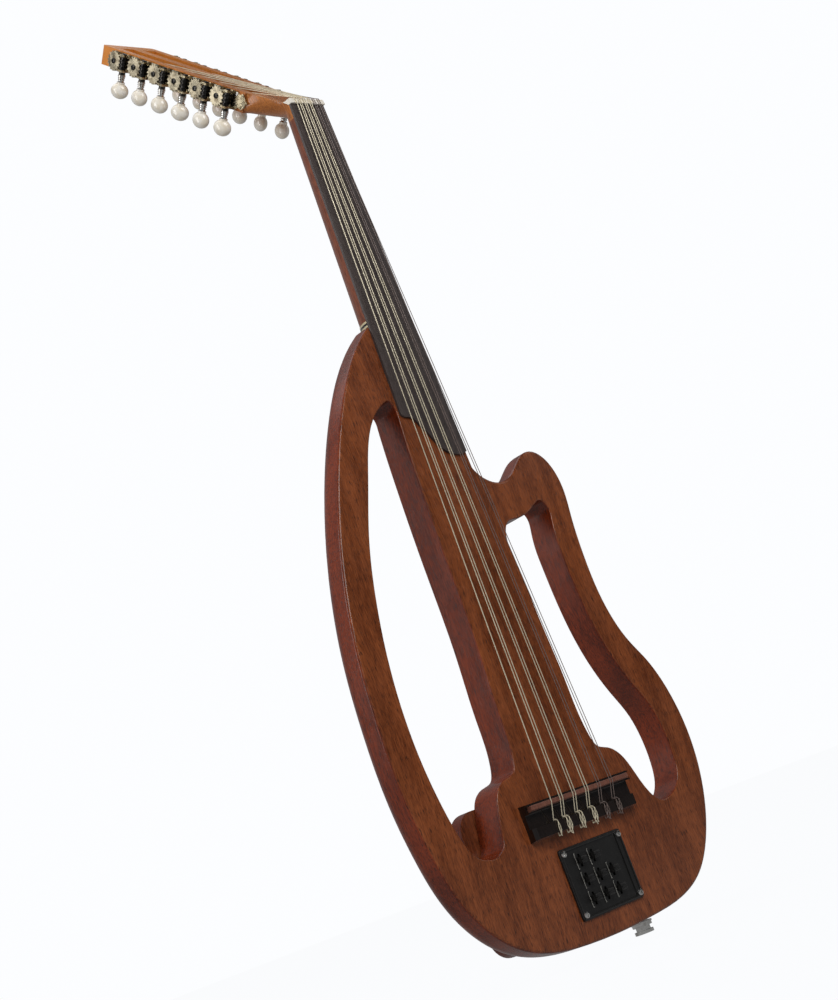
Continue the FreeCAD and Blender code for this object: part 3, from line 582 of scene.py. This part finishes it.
def finishes(binding: tuple[float, float]) -> dict[str, Finish]:
    """Every finish of the instrument, by the word its pieces ask for.

    Args:
        binding: lowest and highest Z of the layered binding.

    Returns:
        The finishes.
    """
    return {
        # Body and housing take painted shade on their side walls through side.
        "body": WoodFinish("sapele_body", "a35a32", "562610", "1c0a05",
                           side="dcaa98", ribbon=0.5, pores=0.75),
        "housing": WoodFinish("sapele_housing", "8a4a2b", "4c2210", "1c0a05",
                              side="dcaa98"),
        "neck": WoodFinish("mahogany_neck", "a05c40", "5c2c1e", "2a120c",
                           ribbon=0.25, pores=0.5),
        # The head takes a painted highlight near its tip.
        "head": WoodFinish("mahogany_head", "d68744", "9a5624", "40200e",
                           ribbon=0.3, pores=0.5, tip="f2983c",
                           tip_span=(0.72, 0.85)),
        "board": WoodFinish("ebony_board", "5a504e", "3a3230", "1a1513",
                            coarseness=1.3, ribbon=0.2, pores=0.4, clean=0.30,
                            smeared=0.42, coat=0.25, coat_roughness=0.3),
        "bridge": WoodFinish("black_bridge", "241a16", "140e0c", "080505",
                             ribbon=0.1, pores=0.3, clean=0.12,
                             smeared=0.2, coat=1.0, coat_roughness=0.05,
                             relief=0.1),
        "saddle": WoodFinish("rosewood_saddle", "94604e", "5e3a30", "2c1713",
                             ribbon=0.2, clean=0.3, smeared=0.4,
                             coat=0.3, coat_roughness=0.2),
        "ivory": MouldedFinish("ivory_plastic", "fdf6ea", "f4e8d2",
                               mottle_scale=160.0, clean=0.18, smeared=0.28,
                               coat=0.5),
        "binding": BindingFinish("layered_binding", *binding),
        "plate": MetalFinish("engraved_nickel", "cdbf9f", "9c8560",
                             engraved=True),
        "chrome": MetalFinish("bright_chrome", "d8d6d2", "b5b2ac", clean=0.08,
                              smeared=0.2),
        "gear": MetalFinish("brass_gear", "cfc2a6", "8f8068", clean=0.2,
                            smeared=0.4, brushed=(0.1, 1, 1)),
        "worm": MetalFinish("steel_worm", "3c3a38", "1e1c1b", clean=0.2,
                            smeared=0.36),
        "panel": MouldedFinish("satin_panel", "0e0d0c", "141312", clean=0.42,
                               smeared=0.55, grit=0.35),
        "knob": MouldedFinish("black_knob", "191817", "22201f", clean=0.26,
                              smeared=0.38, grit=0.2),
        "marks": MouldedFinish("panel_print", "b9b6ae", "a19e96", clean=0.5,
                               smeared=0.6),
        "wound": WireFinish("wound_wire", "f0e6cc", "cdbf9f", 0.25, 0.26,
                            700.0),
        "plain": WireFinish("plain_gut", "8a7870", "6a5c56", 0.0, 0.22,
                            60.0),
    }


# ---------------------------------------------------------------------------
# Making pieces
# ---------------------------------------------------------------------------
def dress(piece: bpy.types.Object, material: bpy.types.Material, body: str) -> bpy.types.Object:
    """Give a piece its finish and the body it rides on.

    Args:
        piece: the object, with its place in its data.
        material: its finish.
        body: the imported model's body.

    Returns:
        The piece.
    """
    piece.data.materials.append(material)
    bpy.context.scene.collection.objects.link(piece)
    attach(piece, body)
    log.info("piece %s rides on %s", piece.name, body)
    return piece


def mesh_piece(name: str, shape: bmesh.types.BMesh, material: bpy.types.Material,
               body: str, sharp: float = 32.0) -> bpy.types.Object:
    """Finish a bmesh as a piece of the instrument.

    Args:
        name: the piece's name.
        shape: its mesh, which is freed.
        material: its finish.
        body: the body it rides on.
        sharp: angle in degrees past which an edge stays sharp.

    Returns:
        The piece.

    Raises:
        ValueError: if the mesh has no faces.
    """
    if not shape.faces:
        raise ValueError(f"piece {name} has no faces")
    bmesh.ops.recalc_face_normals(shape, faces=shape.faces)
    for face in shape.faces:
        face.smooth = True
    mesh = bpy.data.meshes.new(name)
    shape.to_mesh(mesh)
    shape.free()
    mesh.set_sharp_from_angle(angle=math.radians(sharp))
    return dress(bpy.data.objects.new(name, mesh), material, body)


def wire_piece(name: str, runs: Sequence[Sequence[Vector]], radii: Sequence[float],
               material: bpy.types.Material, body: str,
               curved: bool) -> bpy.types.Object:
    """Make round wires as one curve.

    Args:
        name: the piece's name.
        runs: the points of each wire.
        radii: the radius of each wire.
        material: its finish.
        body: the body it rides on.
        curved: whether the wires bend smoothly between their points.

    Returns:
        The piece.
    """
    curve = bpy.data.curves.new(name, "CURVE")
    curve.dimensions = "3D"
    curve.bevel_depth = 1.0
    curve.bevel_resolution = 3
    curve.use_fill_caps = True
    curve.resolution_u = 8
    for points, radius in zip(runs, radii):
        spline = curve.splines.new("NURBS" if curved else "POLY")
        spline.points.add(len(points) - 1)
        for knot, place in zip(spline.points, points):
            knot.co = (*place, 1.0)
            knot.radius = radius
        if curved:
            spline.use_endpoint_u = True
            spline.order_u = 3
    return dress(bpy.data.objects.new(name, curve), material, body)


def turned(profile: Sequence[tuple[float, float]], frame: Matrix,
           steps: int = 28) -> bmesh.types.BMesh:
    """Solid turned from a closed half profile.

    Args:
        profile: (radius, distance along the axis), from the axis round to it.
        frame: place of the axis, which is the frame's Z.
        steps: faces round the solid.

    Returns:
        The solid in place.
    """
    shape = bmesh.new()
    verts = [shape.verts.new((radius, 0.0, along)) for radius, along in profile]
    edges = [shape.edges.new(pair) for pair in zip(verts, verts[1:])]
    bmesh.ops.spin(shape, geom=verts + edges, cent=(0, 0, 0), axis=(0, 0, 1),
                   dvec=(0, 0, 0), angle=math.tau, steps=steps, use_merge=True)
    bmesh.ops.remove_doubles(shape, verts=shape.verts, dist=0.001 * MM)
    bmesh.ops.transform(shape, matrix=frame, verts=shape.verts)
    return shape


class Recess(Enum):
    """Recess of a screw head."""

    SLOT = 1
    CROSS = 2


def pushed(shape: bmesh.types.BMesh, faces: Sequence[bmesh.types.BMFace],
           rise: float, clear: bool = False) -> None:
    """Extrude faces along Z.

    Args:
        shape: the mesh they belong to.
        faces: the faces to extrude.
        rise: how far they move.
        clear: whether the faces they came from are deleted.
    """
    moved = bmesh.ops.extrude_face_region(shape, geom=faces)
    if clear:
        bmesh.ops.delete(shape, geom=faces, context="FACES")
    bmesh.ops.translate(shape, vec=(0, 0, rise), verts=[
        v for v in moved["geom"] if isinstance(v, bmesh.types.BMVert)])


def screw_head(radius: float, height: float, recess: Recess,
               frame: Matrix) -> bmesh.types.BMesh:
    """Screw head with its recess, standing on the frame's XY plane.

    Args:
        radius: the head's radius.
        height: the head's height along the frame's Z.
        recess: a single slot or a cross.
        frame: where the head stands.

    Returns:
        The head in place.
    """
    shape = bmesh.new()
    bmesh.ops.create_cone(shape, cap_ends=True, segments=28, radius1=radius,
                          radius2=radius * 0.88, depth=height,
                          matrix=Matrix.Translation((0, 0, height / 2)))
    rim = [e for e in shape.edges
           if all(v.co.z > height * 0.9 for v in e.verts)]
    bmesh.ops.bevel(shape, geom=rim, offset=radius * 0.12, affect="EDGES",
                    segments=2, profile=0.5, material=-1)
    arm = radius * (0.62 if recess is Recess.CROSS else 0.84)
    half = radius * 0.15
    cuts = [(way, axis, at) for at in (half, arm) for way in (-1, 1)
            for axis in ((1, 0, 0), (0, 1, 0))]
    for way, axis, at in cuts:
        bmesh.ops.bisect_plane(
            shape, geom=shape.verts[:] + shape.edges[:] + shape.faces[:],
            plane_co=Vector(axis) * way * at, plane_no=axis)
    top = max(v.co.z for v in shape.verts)
    chosen = []
    for face in shape.faces:
        middle = face.calc_center_median()
        if middle.z < top - 1e-6:
            continue
        x, y = abs(middle.x), abs(middle.y)
        if (x < arm and y < half) or (recess is Recess.CROSS and y < arm and x < half):
            chosen.append(face)
    pushed(shape, chosen, -height * 0.55, clear=True)
    bmesh.ops.transform(shape, matrix=frame, verts=shape.verts)
    return shape


def merged(shapes: Iterable[bmesh.types.BMesh]) -> bmesh.types.BMesh:
    """Several meshes as one.

    Args:
        shapes: the meshes, which are freed.

    Returns:
        One mesh with all of them.
    """
    whole = bmesh.new()
    for shape in shapes:
        mesh = bpy.data.meshes.new("part")
        shape.to_mesh(mesh)
        shape.free()
        whole.from_mesh(mesh)
        bpy.data.meshes.remove(mesh)
    return whole


def bar(low: Sequence[float], high: Sequence[float],
        round_off: float) -> bmesh.types.BMesh:
    """Box between two corners with rounded edges.

    Args:
        low: lowest corner.
        high: highest corner.
        round_off: radius of the edges.

    Returns:
        The box.
    """
    shape = bmesh.new()
    low, high = Vector(low), Vector(high)
    bmesh.ops.create_cube(shape, size=1.0)
    bmesh.ops.scale(shape, vec=high - low, verts=shape.verts)
    bmesh.ops.translate(shape, vec=(high + low) / 2, verts=shape.verts)
    bmesh.ops.bevel(shape, geom=shape.edges, offset=round_off, affect="EDGES",
                    segments=2, profile=0.5, material=-1)
    return shape


def axis_frame(origin: Vector, along: Vector) -> Matrix:
    """Frame at a point with its Z along a direction."""
    return Matrix.Translation(origin) @ along.to_track_quat("Z", "Y").to_matrix().to_4x4()


# ---------------------------------------------------------------------------
# Sub-assemblies
# ---------------------------------------------------------------------------
@dataclass
class Head:
    """The canted head: a frame of its own, behind and along its face."""

    angle: float = math.radians(46.4)
    nut_height: float = field(init=False)
    behind: Vector = field(init=False)
    along: Vector = field(init=False)

    def __post_init__(self) -> None:
        """Take the head's root from the nut."""
        self.nut_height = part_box("nut")[0].z
        self.behind = Vector((0, math.cos(self.angle), -math.sin(self.angle)))
        self.along = Vector((0, math.sin(self.angle), math.cos(self.angle)))

    def point(self, x: float, depth: float, reach: float) -> Vector:
        """Point from distances across, behind the face and along it."""
        return Vector((x, 0, self.nut_height)) + self.behind * depth + self.along * reach


NODE_FINISHES = {
    "body_frame": "body", "rear_housing": "housing", "neck": "neck",
    "headstock": "head", "fingerboard": "board", "bridge": "bridge",
    "saddle": "saddle", "nut": "ivory", "button": "ivory",
    "heel_binding": "binding", "tuner_plate": "plate", "roller": "gear",
    "worm": "worm", "output_jack": "chrome", "preamp_screws": "chrome",
    "preamp_panel": "panel", "preamp_box": "panel", "slider": "knob",
}


@dataclass
class Timber:
    """Body, neck, head, boards and bridge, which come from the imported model."""

    nodes: dict[str, bpy.types.Object]

    def dress(self, palette: Palette) -> None:
        """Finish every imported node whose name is, or starts with, a listed word.

        Args:
            palette: the instrument's finishes.
        """
        for start, word in NODE_FINISHES.items():
            for name, node in self.nodes.items():
                if name == start or name.startswith(start + "_"):
                    for slot in node.material_slots:
                        slot.material = palette[word]


@dataclass
class StringSet:
    """Eleven strings from the tie block over saddle and nut to the rollers."""

    head: Head
    courses: int = 5
    wound_count: int = 7
    wound_radius: float = 0.40 * MM
    plain_radius: float = 0.30 * MM
    saddle_pitch: float = 15.0 * MM
    saddle_gap: float = 3.0 * MM
    saddle_shift: float = 1.5 * MM
    nut_thickness: float = 4.6 * MM
    nut_back_drop: float = 0.8 * MM
    nut_pitch: float = 5.4 * MM
    nut_gap: float = 2.1 * MM
    hole_rise: float = 5.8 * MM
    block_height: float = 9.5 * MM
    wraps: int = 4
    drum_radius: float = 4.4 * MM
    outermost: float = 16.5 * MM
    step_in: float = 0.9 * MM

    def places(self, pitch: float, gap: float, shift: float) -> list[float]:
        """X of each string.

        Args:
            pitch: distance between courses.
            gap: distance between the strings of a pair.
            shift: how far the set stands to the treble side.

        Returns:
            One single bass string, then the pairs.
        """
        middles = [shift + (n - 2) * pitch + pitch / 3 for n in range(self.courses)]
        return [middles[0] - 0.77 * pitch] + [
            middle + way * gap / 2 for middle in middles for way in (-1, 1)]

    def radius(self, number: int) -> float:
        """Radius of a string, counted from the bass side."""
        return self.wound_radius if number < self.wound_count else self.plain_radius

    def roller(self, number: int) -> tuple[Side, int, float]:
        """Side, tuner number and X of the string on its roller."""
        if number <= self.courses:
            return Side.BASS, number + 1, -(self.outermost - self.step_in * number)
        tuner = 2 * self.courses - number
        return Side.TREBLE, tuner + 1, self.outermost - self.step_in * tuner

    def roller_axis(self, side: Side, tuner: int) -> Vector:
        """Middle of a roller's axis."""
        low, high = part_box(f"roller_{side.word}_{tuner}")
        return (low + high) / 2

    def run(self, number: int) -> list[Vector]:
        """Points of a string from the tie block to its roller.

        Args:
            number: the string, counted from the bass side.

        Returns:
            The points, in order.
        """
        saddle_x = self.places(self.saddle_pitch, self.saddle_gap,
                               self.saddle_shift)[number]
        nut_x = self.places(self.nut_pitch, self.nut_gap, 0.0)[number]
        saddle_low, saddle_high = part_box("saddle")
        bridge_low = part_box("bridge")[0]
        nut_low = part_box("nut")[0]
        radius = self.radius(number)
        side, tuner, x = self.roller(number)
        axis = self.roller_axis(side, tuner)
        lift = self.drum_radius + self.wound_radius
        landing = Vector((x, axis.y, axis.z)) - self.head.behind * lift
        return [
            Vector((saddle_x, -self.hole_rise, bridge_low.z - 1.5 * MM)),
            Vector((saddle_x, -self.hole_rise, bridge_low.z + self.block_height + MM)),
            Vector((saddle_x, saddle_low.y - radius, (saddle_low.z + saddle_high.z) / 2)),
            Vector((nut_x, nut_low.y - radius, self.head.nut_height + 0.4 * MM)),
            Vector((nut_x, nut_low.y + self.nut_back_drop - radius - 0.1 * MM,
                    self.head.nut_height + self.nut_thickness + 0.35 * MM)),
            landing,
        ]

    def tie(self, number: int) -> list[Vector]:
        """Knot and tail of a string on the tie block.

        Args:
            number: the string, counted from the bass side.

        Returns:
            The points, in order.
        """
        base = self.run(number)
        low, top = base[0], base[1]
        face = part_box("bridge")[0].z
        front = -8.0 * MM - self.radius(number)
        x = top.x
        lean = (1 if number % 2 else -1) * (0.5 + 0.3 * (number % 3)) * MM
        tail = (2.0 + 0.6 * (number % 3)) * MM
        top_z = face + self.block_height
        offsets = (
            (0.5, 0.0, face + 0.3 * MM), (1.5, 0.0, face + 2.4 * MM),
            (2.0, 0.0, face + 4.8 * MM), (1.4, 0.0, top_z - 1.8 * MM),
            (0.3, -0.3, top_z + 0.6 * MM), (-0.8, 0.6, top_z + 1.5 * MM),
            (-0.7, 1.9, top_z + 1.0 * MM), (0.4, 1.4, top_z + 0.6 * MM),
            (0.8, -0.6, top_z - 0.2 * MM), (0.1, -0.9, top_z - 1.6 * MM),
            (-0.4, -0.3, face + 5.0 * MM), (-0.2, -0.2, face + 1.5 * MM))
        return [
            Vector((x, low.y, low.z)),
            Vector((x, low.y - 1.5 * MM, face - 1.4 * MM)),
            *(Vector((x + across * MM, front + out * MM, z)) for across, out, z in offsets),
            Vector((x + lean, front - 0.5 * MM, face - tail)),
        ]

    def wrap(self, number: int) -> list[Vector]:
        """Turns of a string round its roller.

        Args:
            number: the string, counted from the bass side.

        Returns:
            The points of the helix.
        """
        side, tuner, x = self.roller(number)
        axis = self.roller_axis(side, tuner)
        radius = self.drum_radius + self.radius(number) * 0.9
        turns = self.wraps + 0.4 * (number % 3)
        steps = int(turns * 16)
        pitch = 2.1 * self.radius(number) * (1 if side is Side.BASS else -1)
        points = []
        for step in range(steps + 1):
            angle = math.tau * step / 16
            middle = Vector((x + pitch * step / 16, axis.y, axis.z))
            points.append(middle - self.head.behind * radius * math.cos(angle)
                          + self.head.along * radius * math.sin(angle))
        return points

    def build(self, palette: Palette) -> None:
        """Make the strings, their ties and their wraps.

        Args:
            palette: the instrument's finishes.
        """
        total = 2 * self.courses + 1
        kinds = (("wound", range(self.wound_count), palette["wound"]),
                 ("plain", range(self.wound_count, total), palette["plain"]))
        for word, numbers, material in kinds:
            radii = [self.radius(n) for n in numbers]
            long_runs = wire_piece(f"strings_{word}", [self.run(n) for n in numbers],
                                   radii, material, "instrument", False)
            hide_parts("strings")
            wire_piece(f"string_ties_{word}", [self.tie(n) for n in numbers],
                       [r * 0.95 for r in radii], material, "instrument",
                       True)
            for number in numbers:
                side, tuner, _ = self.roller(number)
                wire_piece(f"string_wrap_{side.word}_{tuner}", [self.wrap(number)],
                           [self.radius(number)], material,
                           f"roller_{side.word}_{tuner}", True)


@dataclass
class Machines:
    """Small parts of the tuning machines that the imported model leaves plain."""

    head: Head
    strings: StringSet
    tuners: int = 6
    worm_offset: float = 11.8 * MM
    worm_depth: float = 8.8 * MM
    ferrule_start: float = 18.4 * MM
    ferrule_end: float = 24.6 * MM
    shaft_radius: float = 1.9 * MM
    gear_screw_radius: float = 2.5 * MM
    plate_screw_radius: float = 1.7 * MM
    plate_screw_back: float = 18.3 * MM

    def worm_x(self, side: Side) -> float:
        """X of a side's worm axes."""
        low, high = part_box(f"worm_{side.word}_1")
        return (low.x + high.x) / 2

    def ferrule(self, side: Side, tuner: int) -> bmesh.types.BMesh:
        """Ribbed ferrule between a bearing and its button.

        Args:
            side: the head's side.
            tuner: the tuner, counted from the nut.

        Returns:
            The ferrule in place.
        """
        axis = self.strings.roller_axis(side, tuner)
        foot = Vector((self.worm_x(side), axis.y, axis.z)) - (
            self.head.along * self.worm_offset) - self.head.behind * self.worm_depth
        inner = self.shaft_radius + 0.05 * MM
        length = self.ferrule_end - self.ferrule_start
        profile = [(inner, 0.0), (inner + 1.3 * MM, 0.0)]
        ribs = 3
        for rib in range(ribs):
            start = length * (0.10 + 0.27 * rib)
            wide = inner + (1.35 - 0.25 * rib) * MM
            for share, radius in ((0.0, wide - 0.55 * MM), (0.06, wide),
                                  (0.15, wide), (0.21, wide - 0.55 * MM)):
                profile.append((radius, start + share * length))
        profile += [(inner + 0.6 * MM, length), (inner, length), (inner, 0.0)]
        frame = axis_frame(foot + self.head.behind * self.ferrule_start, self.head.behind)
        return turned(profile, frame)

    def gear_screw(self, side: Side, tuner: int) -> bmesh.types.BMesh:
        """Slotted screw in the middle of a gear.

        Args:
            side: the head's side.
            tuner: the tuner, counted from the nut.

        Returns:
            The screw in place.
        """
        low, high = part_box(f"roller_{side.word}_{tuner}")
        middle = (low + high) / 2
        outer = high.x if side is Side.TREBLE else low.x
        turn = Matrix.Rotation(0.7 * tuner + side.value, 4, "Z")
        frame = axis_frame(Vector((outer, middle.y, middle.z)),
                           Vector((side.value, 0, 0))) @ turn
        return screw_head(self.gear_screw_radius, 1.1 * MM, Recess.SLOT, frame)

    def plate_screws(self, side: Side) -> bmesh.types.BMesh:
        """Screws that hold a plate to the head.

        Args:
            side: the head's side.

        Returns:
            The screws in place.
        """
        face = (self.head_half() + 1.2 * MM) * side.value
        heads = []
        for tuner in range(1, self.tuners + 1):
            axis = self.strings.roller_axis(side, tuner)
            reach = (axis - Vector((0, 0, self.head.nut_height))).dot(self.head.along)
            spot = self.head.point(face, 3.0 * MM, reach - self.plate_screw_back)
            turn = Matrix.Rotation(0.5 * tuner, 4, "Z")
            heads.append(screw_head(self.plate_screw_radius, 0.8 * MM, Recess.CROSS,
                                    axis_frame(spot, Vector((side.value, 0, 0))) @ turn))
        return merged(heads)

    def head_half(self) -> float:
        """Half the width of the head."""
        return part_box("headstock")[1].x

    def build(self, palette: Palette) -> None:
        """Make the ferrules and screws.

        Args:
            palette: the instrument's finishes.
        """
        for side in Side:
            for tuner in range(1, self.tuners + 1):
                tag = f"{side.word}_{tuner}"
                mesh_piece(f"ferrule_{tag}", self.ferrule(side, tuner), palette["chrome"],
                           f"key_{tag}")
                mesh_piece(f"gear_screw_{tag}", self.gear_screw(side, tuner),
                           palette["worm"], f"roller_{tag}")
            mesh_piece(f"plate_screws_{side.word}", self.plate_screws(side),
                       palette["chrome"], "instrument")


@dataclass
class Preamp:
    """Border, printed scales and slider ribs of the control panel."""

    border: float = 2.2 * MM
    border_rise: float = 0.5 * MM
    line_width: float = 0.35 * MM
    print_rise: float = 0.06 * MM
    tick_length: float = 1.1 * MM
    scale_offset: float = 5.4 * MM
    scale_half: float = 6.3 * MM
    columns: int = 3
    rows: int = 3

    def sliders(self) -> list[tuple[int, int]]:
        """Column and row of every slider, counted from one."""
        return [(c, r) for c in range(1, self.columns + 1)
                for r in range(1, self.rows + 1) if (c, r) != (3, 1)]

    def border_ring(self) -> bmesh.types.BMesh:
        """Raised border round the panel."""
        low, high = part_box("preamp_panel")
        shape = bmesh.new()
        middle = (low + high) / 2
        bmesh.ops.create_grid(shape, x_segments=1, y_segments=1, size=0.5)
        bmesh.ops.scale(shape, vec=(high.x - low.x - 1.6 * MM,
                                    high.z - low.z - 1.6 * MM, 1), verts=shape.verts)
        core = shape.faces[:]
        bmesh.ops.inset_individual(shape, faces=core, thickness=self.border)
        bmesh.ops.delete(shape, geom=core, context="FACES")
        pushed(shape, shape.faces[:], self.border_rise)
        bmesh.ops.bevel(shape, geom=[e for e in shape.edges if e.is_manifold],
                        offset=0.18 * MM, affect="EDGES", segments=2, profile=0.5,
                        material=-1)
        frame = Matrix.Translation((middle.x, low.y + 0.02 * MM, middle.z)) @ \
            Matrix.Rotation(math.radians(90), 4, "X")
        bmesh.ops.transform(shape, matrix=frame, verts=shape.verts)
        return shape

    def scales(self) -> bmesh.types.BMesh:
        """Printed line and ticks to the left of every slider."""
        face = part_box("preamp_panel")[0].y
        marks = []
        for column, row in self.sliders():
            low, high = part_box(f"slider_{column}_{row}")
            x = (low.x + high.x) / 2 - self.scale_offset
            z = (low.z + high.z) / 2
            half = self.scale_half
            marks.append(self.mark(x, z - half, x + self.line_width, z + half, face))
            for share in (-1.0, 0.0, 1.0):
                at = z + share * (half - self.line_width)
                marks.append(self.mark(x, at, x + self.tick_length,
                                       at + self.line_width, face))
        return merged(marks)

    def mark(self, x_low: float, z_low: float, x_high: float, z_high: float,
             face: float) -> bmesh.types.BMesh:
        """One printed stroke on the panel."""
        return bar((x_low, face - self.print_rise, z_low), (x_high, face, z_high),
                   0.01 * MM)

    def ribs(self, column: int, row: int) -> bmesh.types.BMesh:
        """Grip ribs on a slider's cap.

        Args:
            column: the slider's column.
            row: the slider's row.

        Returns:
            The ribs in place.
        """
        low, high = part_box(f"slider_{column}_{row}")
        middle = (low.z + high.z) / 2
        inset = 0.5 * MM
        return merged(
            bar((low.x + inset, low.y - 0.45 * MM, middle + at - 0.3 * MM),
                (high.x - inset, low.y + 0.1 * MM, middle + at + 0.3 * MM), 0.12 * MM)
            for at in (-1.5 * MM, 0.0, 1.5 * MM))

    def build(self, palette: Palette) -> None:
        """Make the panel's details.

        Args:
            palette: the instrument's finishes.
        """
        mesh_piece("panel_border", self.border_ring(), palette["knob"], "instrument")
        mesh_piece("panel_scales", self.scales(), palette["marks"], "instrument")
        for column, row in self.sliders():
            mesh_piece(f"slider_ribs_{column}_{row}", self.ribs(column, row),
                       palette["knob"], f"slider_{column}_{row}")
        self.screws(palette)

    def screws(self, palette: Palette) -> None:
        """Crosshead screws in the panel's corners.

        Args:
            palette: the instrument's finishes.
        """
        low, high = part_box("preamp_screws")
        head = 2.6 * MM
        depth = low.y + 1.3 * MM
        heads = []
        corners = [(x, z) for z in (low.z + head, high.z - head)
                   for x in (low.x + head, high.x - head)]
        for n, (x, z) in enumerate(corners):
            frame = axis_frame(Vector((x, depth, z)), Vector((0, -1, 0))) @ \
                Matrix.Rotation(0.6 * n, 4, "Z")
            heads.append(screw_head(head, 1.3 * MM, Recess.CROSS, frame))
        piece = mesh_piece("panel_screws", merged(heads), palette["chrome"], "instrument")
        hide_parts("preamp_screws")


# ---------------------------------------------------------------------------
# Studio
# ---------------------------------------------------------------------------
@dataclass(frozen=True)
class Softbox:
    """Rectangular light aimed at the instrument."""

    name: str
    place: tuple[float, float, float]
    target: tuple[float, float, float]
    width: float
    height: float
    power: float

    def build(self) -> None:
        """Make the light."""
        light = bpy.data.lights.new(self.name, "AREA")
        light.shape = "RECTANGLE"
        light.size, light.size_y = self.width, self.height
        light.energy = self.power
        lamp = bpy.data.objects.new(self.name, light)
        lamp.location = self.place
        aim = Vector(self.target) - Vector(self.place)
        lamp.rotation_euler = aim.to_track_quat("-Z", "Y").to_euler()
        bpy.context.scene.collection.objects.link(lamp)


@dataclass
class Studio:
    """Pale floor, soft lights, white surroundings and the camera."""

    floor_size: float = 40.0
    floor_gap: float = 0.4 * MM
    camera_place: tuple[float, float, float] = (-1.0624, -0.9328, 0.0744)
    camera_turn: tuple[float, float, float] = (102.125, 20.456, -43.288)
    lens: float = 67.45
    shift: tuple[float, float] = (0.0018, -0.0038)
    lights: tuple[Softbox, ...] = (
        Softbox("key", (-0.7, -1.9, 1.7), (0.0, 0.0, 0.4), 1.4, 1.4, 33.0),
        Softbox("rim", (-2.0, 1.0, 1.3), (0.0, 0.0, 0.4), 0.8, 1.8, 19.0),
        Softbox("fill", (2.2, -1.0, 1.6), (0.0, 0.0, 0.4), 1.2, 1.6, 4.0),
        Softbox("top", (0.2, 0.6, 2.4), (0.0, 0.1, 0.5), 1.6, 1.6, 10.0),
    )

    def floor(self) -> None:
        """Pale floor under the instrument."""
        shape = bmesh.new()
        bmesh.ops.create_grid(shape, x_segments=8, y_segments=8,
                              size=self.floor_size / 2)
        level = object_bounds()[0].z - self.floor_gap
        bmesh.ops.translate(shape, vec=(0, 0, level), verts=shape.verts)
        mesh = bpy.data.meshes.new("floor")
        shape.to_mesh(mesh)
        shape.free()
        material, graph, shader = new_material("pale_floor")
        place = graph.place()
        cloud = graph.noise(place, 3.0, 3.0)
        graph.feed(shader.inputs["Base Color"],
                   graph.blend(cloud, tone("1a1a1a"), tone("1c1c1c")))
        seen = graph.add("LightPath").outputs["Is Camera Ray"]
        graph.feed(shader.inputs["Emission Strength"],
                   graph.maths("MULTIPLY_ADD", seen, 0.68, 0.3))
        shader.inputs["Specular IOR Level"].default_value = 0.0
        graph.feed(shader.inputs["Roughness"], graph.span(cloud, 0.3, 0.7, 0.75, 0.9))
        shader.inputs["Emission Color"].default_value = (0.975, 0.985, 1.0, 1)
        mesh.materials.append(material)
        floor = bpy.data.objects.new("floor", mesh)
        bpy.context.scene.collection.objects.link(floor)
        floor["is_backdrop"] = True

    def surroundings(self) -> None:
        """White backdrop whose light is brighter on the left than the right."""
        world = bpy.data.worlds.new("studio")
        bpy.context.scene.world = world
        world.use_nodes = True
        graph = Graph(world.node_tree)
        result = world.node_tree.nodes["World Output"]
        across = graph.add("SeparateXYZ", {0: graph.add("TexCoord").outputs["Generated"]})
        share = graph.maths("ADD", graph.maths("MULTIPLY", across.outputs[0], -0.5),
                            graph.maths("MULTIPLY", across.outputs[1], 0.5))
        glow = graph.span(share, -0.45, 0.5, 0.04, 0.32)
        lit = graph.add("Background", {"Color": (0.93, 0.96, 1.0, 1), "Strength": glow})
        seen = graph.add("Background", {"Color": (0.975, 0.985, 1.0, 1), "Strength": 1.0})
        mix = graph.add("MixShader", {0: graph.add("LightPath").outputs["Is Camera Ray"],
                                      1: lit.outputs[0], 2: seen.outputs[0]})
        graph.feed(result.inputs["Surface"], mix.outputs[0])

    def camera(self) -> None:
        """Camera to the bass side of the instrument, low and leaning."""
        data = bpy.data.cameras.new("camera")
        data.lens = self.lens
        data.sensor_width = 36.0
        data.shift_x, data.shift_y = self.shift
        data.clip_end = 200.0
        camera = bpy.data.objects.new("camera", data)
        camera.location = self.camera_place
        camera.rotation_euler = Euler([math.radians(a) for a in self.camera_turn], "XYZ")
        bpy.context.scene.collection.objects.link(camera)
        bpy.context.scene.camera = camera

    def build(self) -> None:
        """Set the stage."""
        self.floor()
        self.surroundings()
        for light in self.lights:
            light.build()
        self.camera()
        bpy.context.scene.view_settings.view_transform = "Standard"


def main() -> None:
    """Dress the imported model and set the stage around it."""
    logging.basicConfig(level=logging.INFO, format="%(name)s: %(message)s")
    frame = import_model()
    groups = Groups()
    low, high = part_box("heel_binding")
    palette = {word: finish.build(groups)
               for word, finish in finishes((low.z, high.z)).items()}
    Timber(frame["nodes"]).dress(palette)
    head = Head()
    strings = StringSet(head)
    strings.build(palette)
    Machines(head, strings).build(palette)
    Preamp().build(palette)
    Studio().build()


if __name__ == "__main__":
    main()
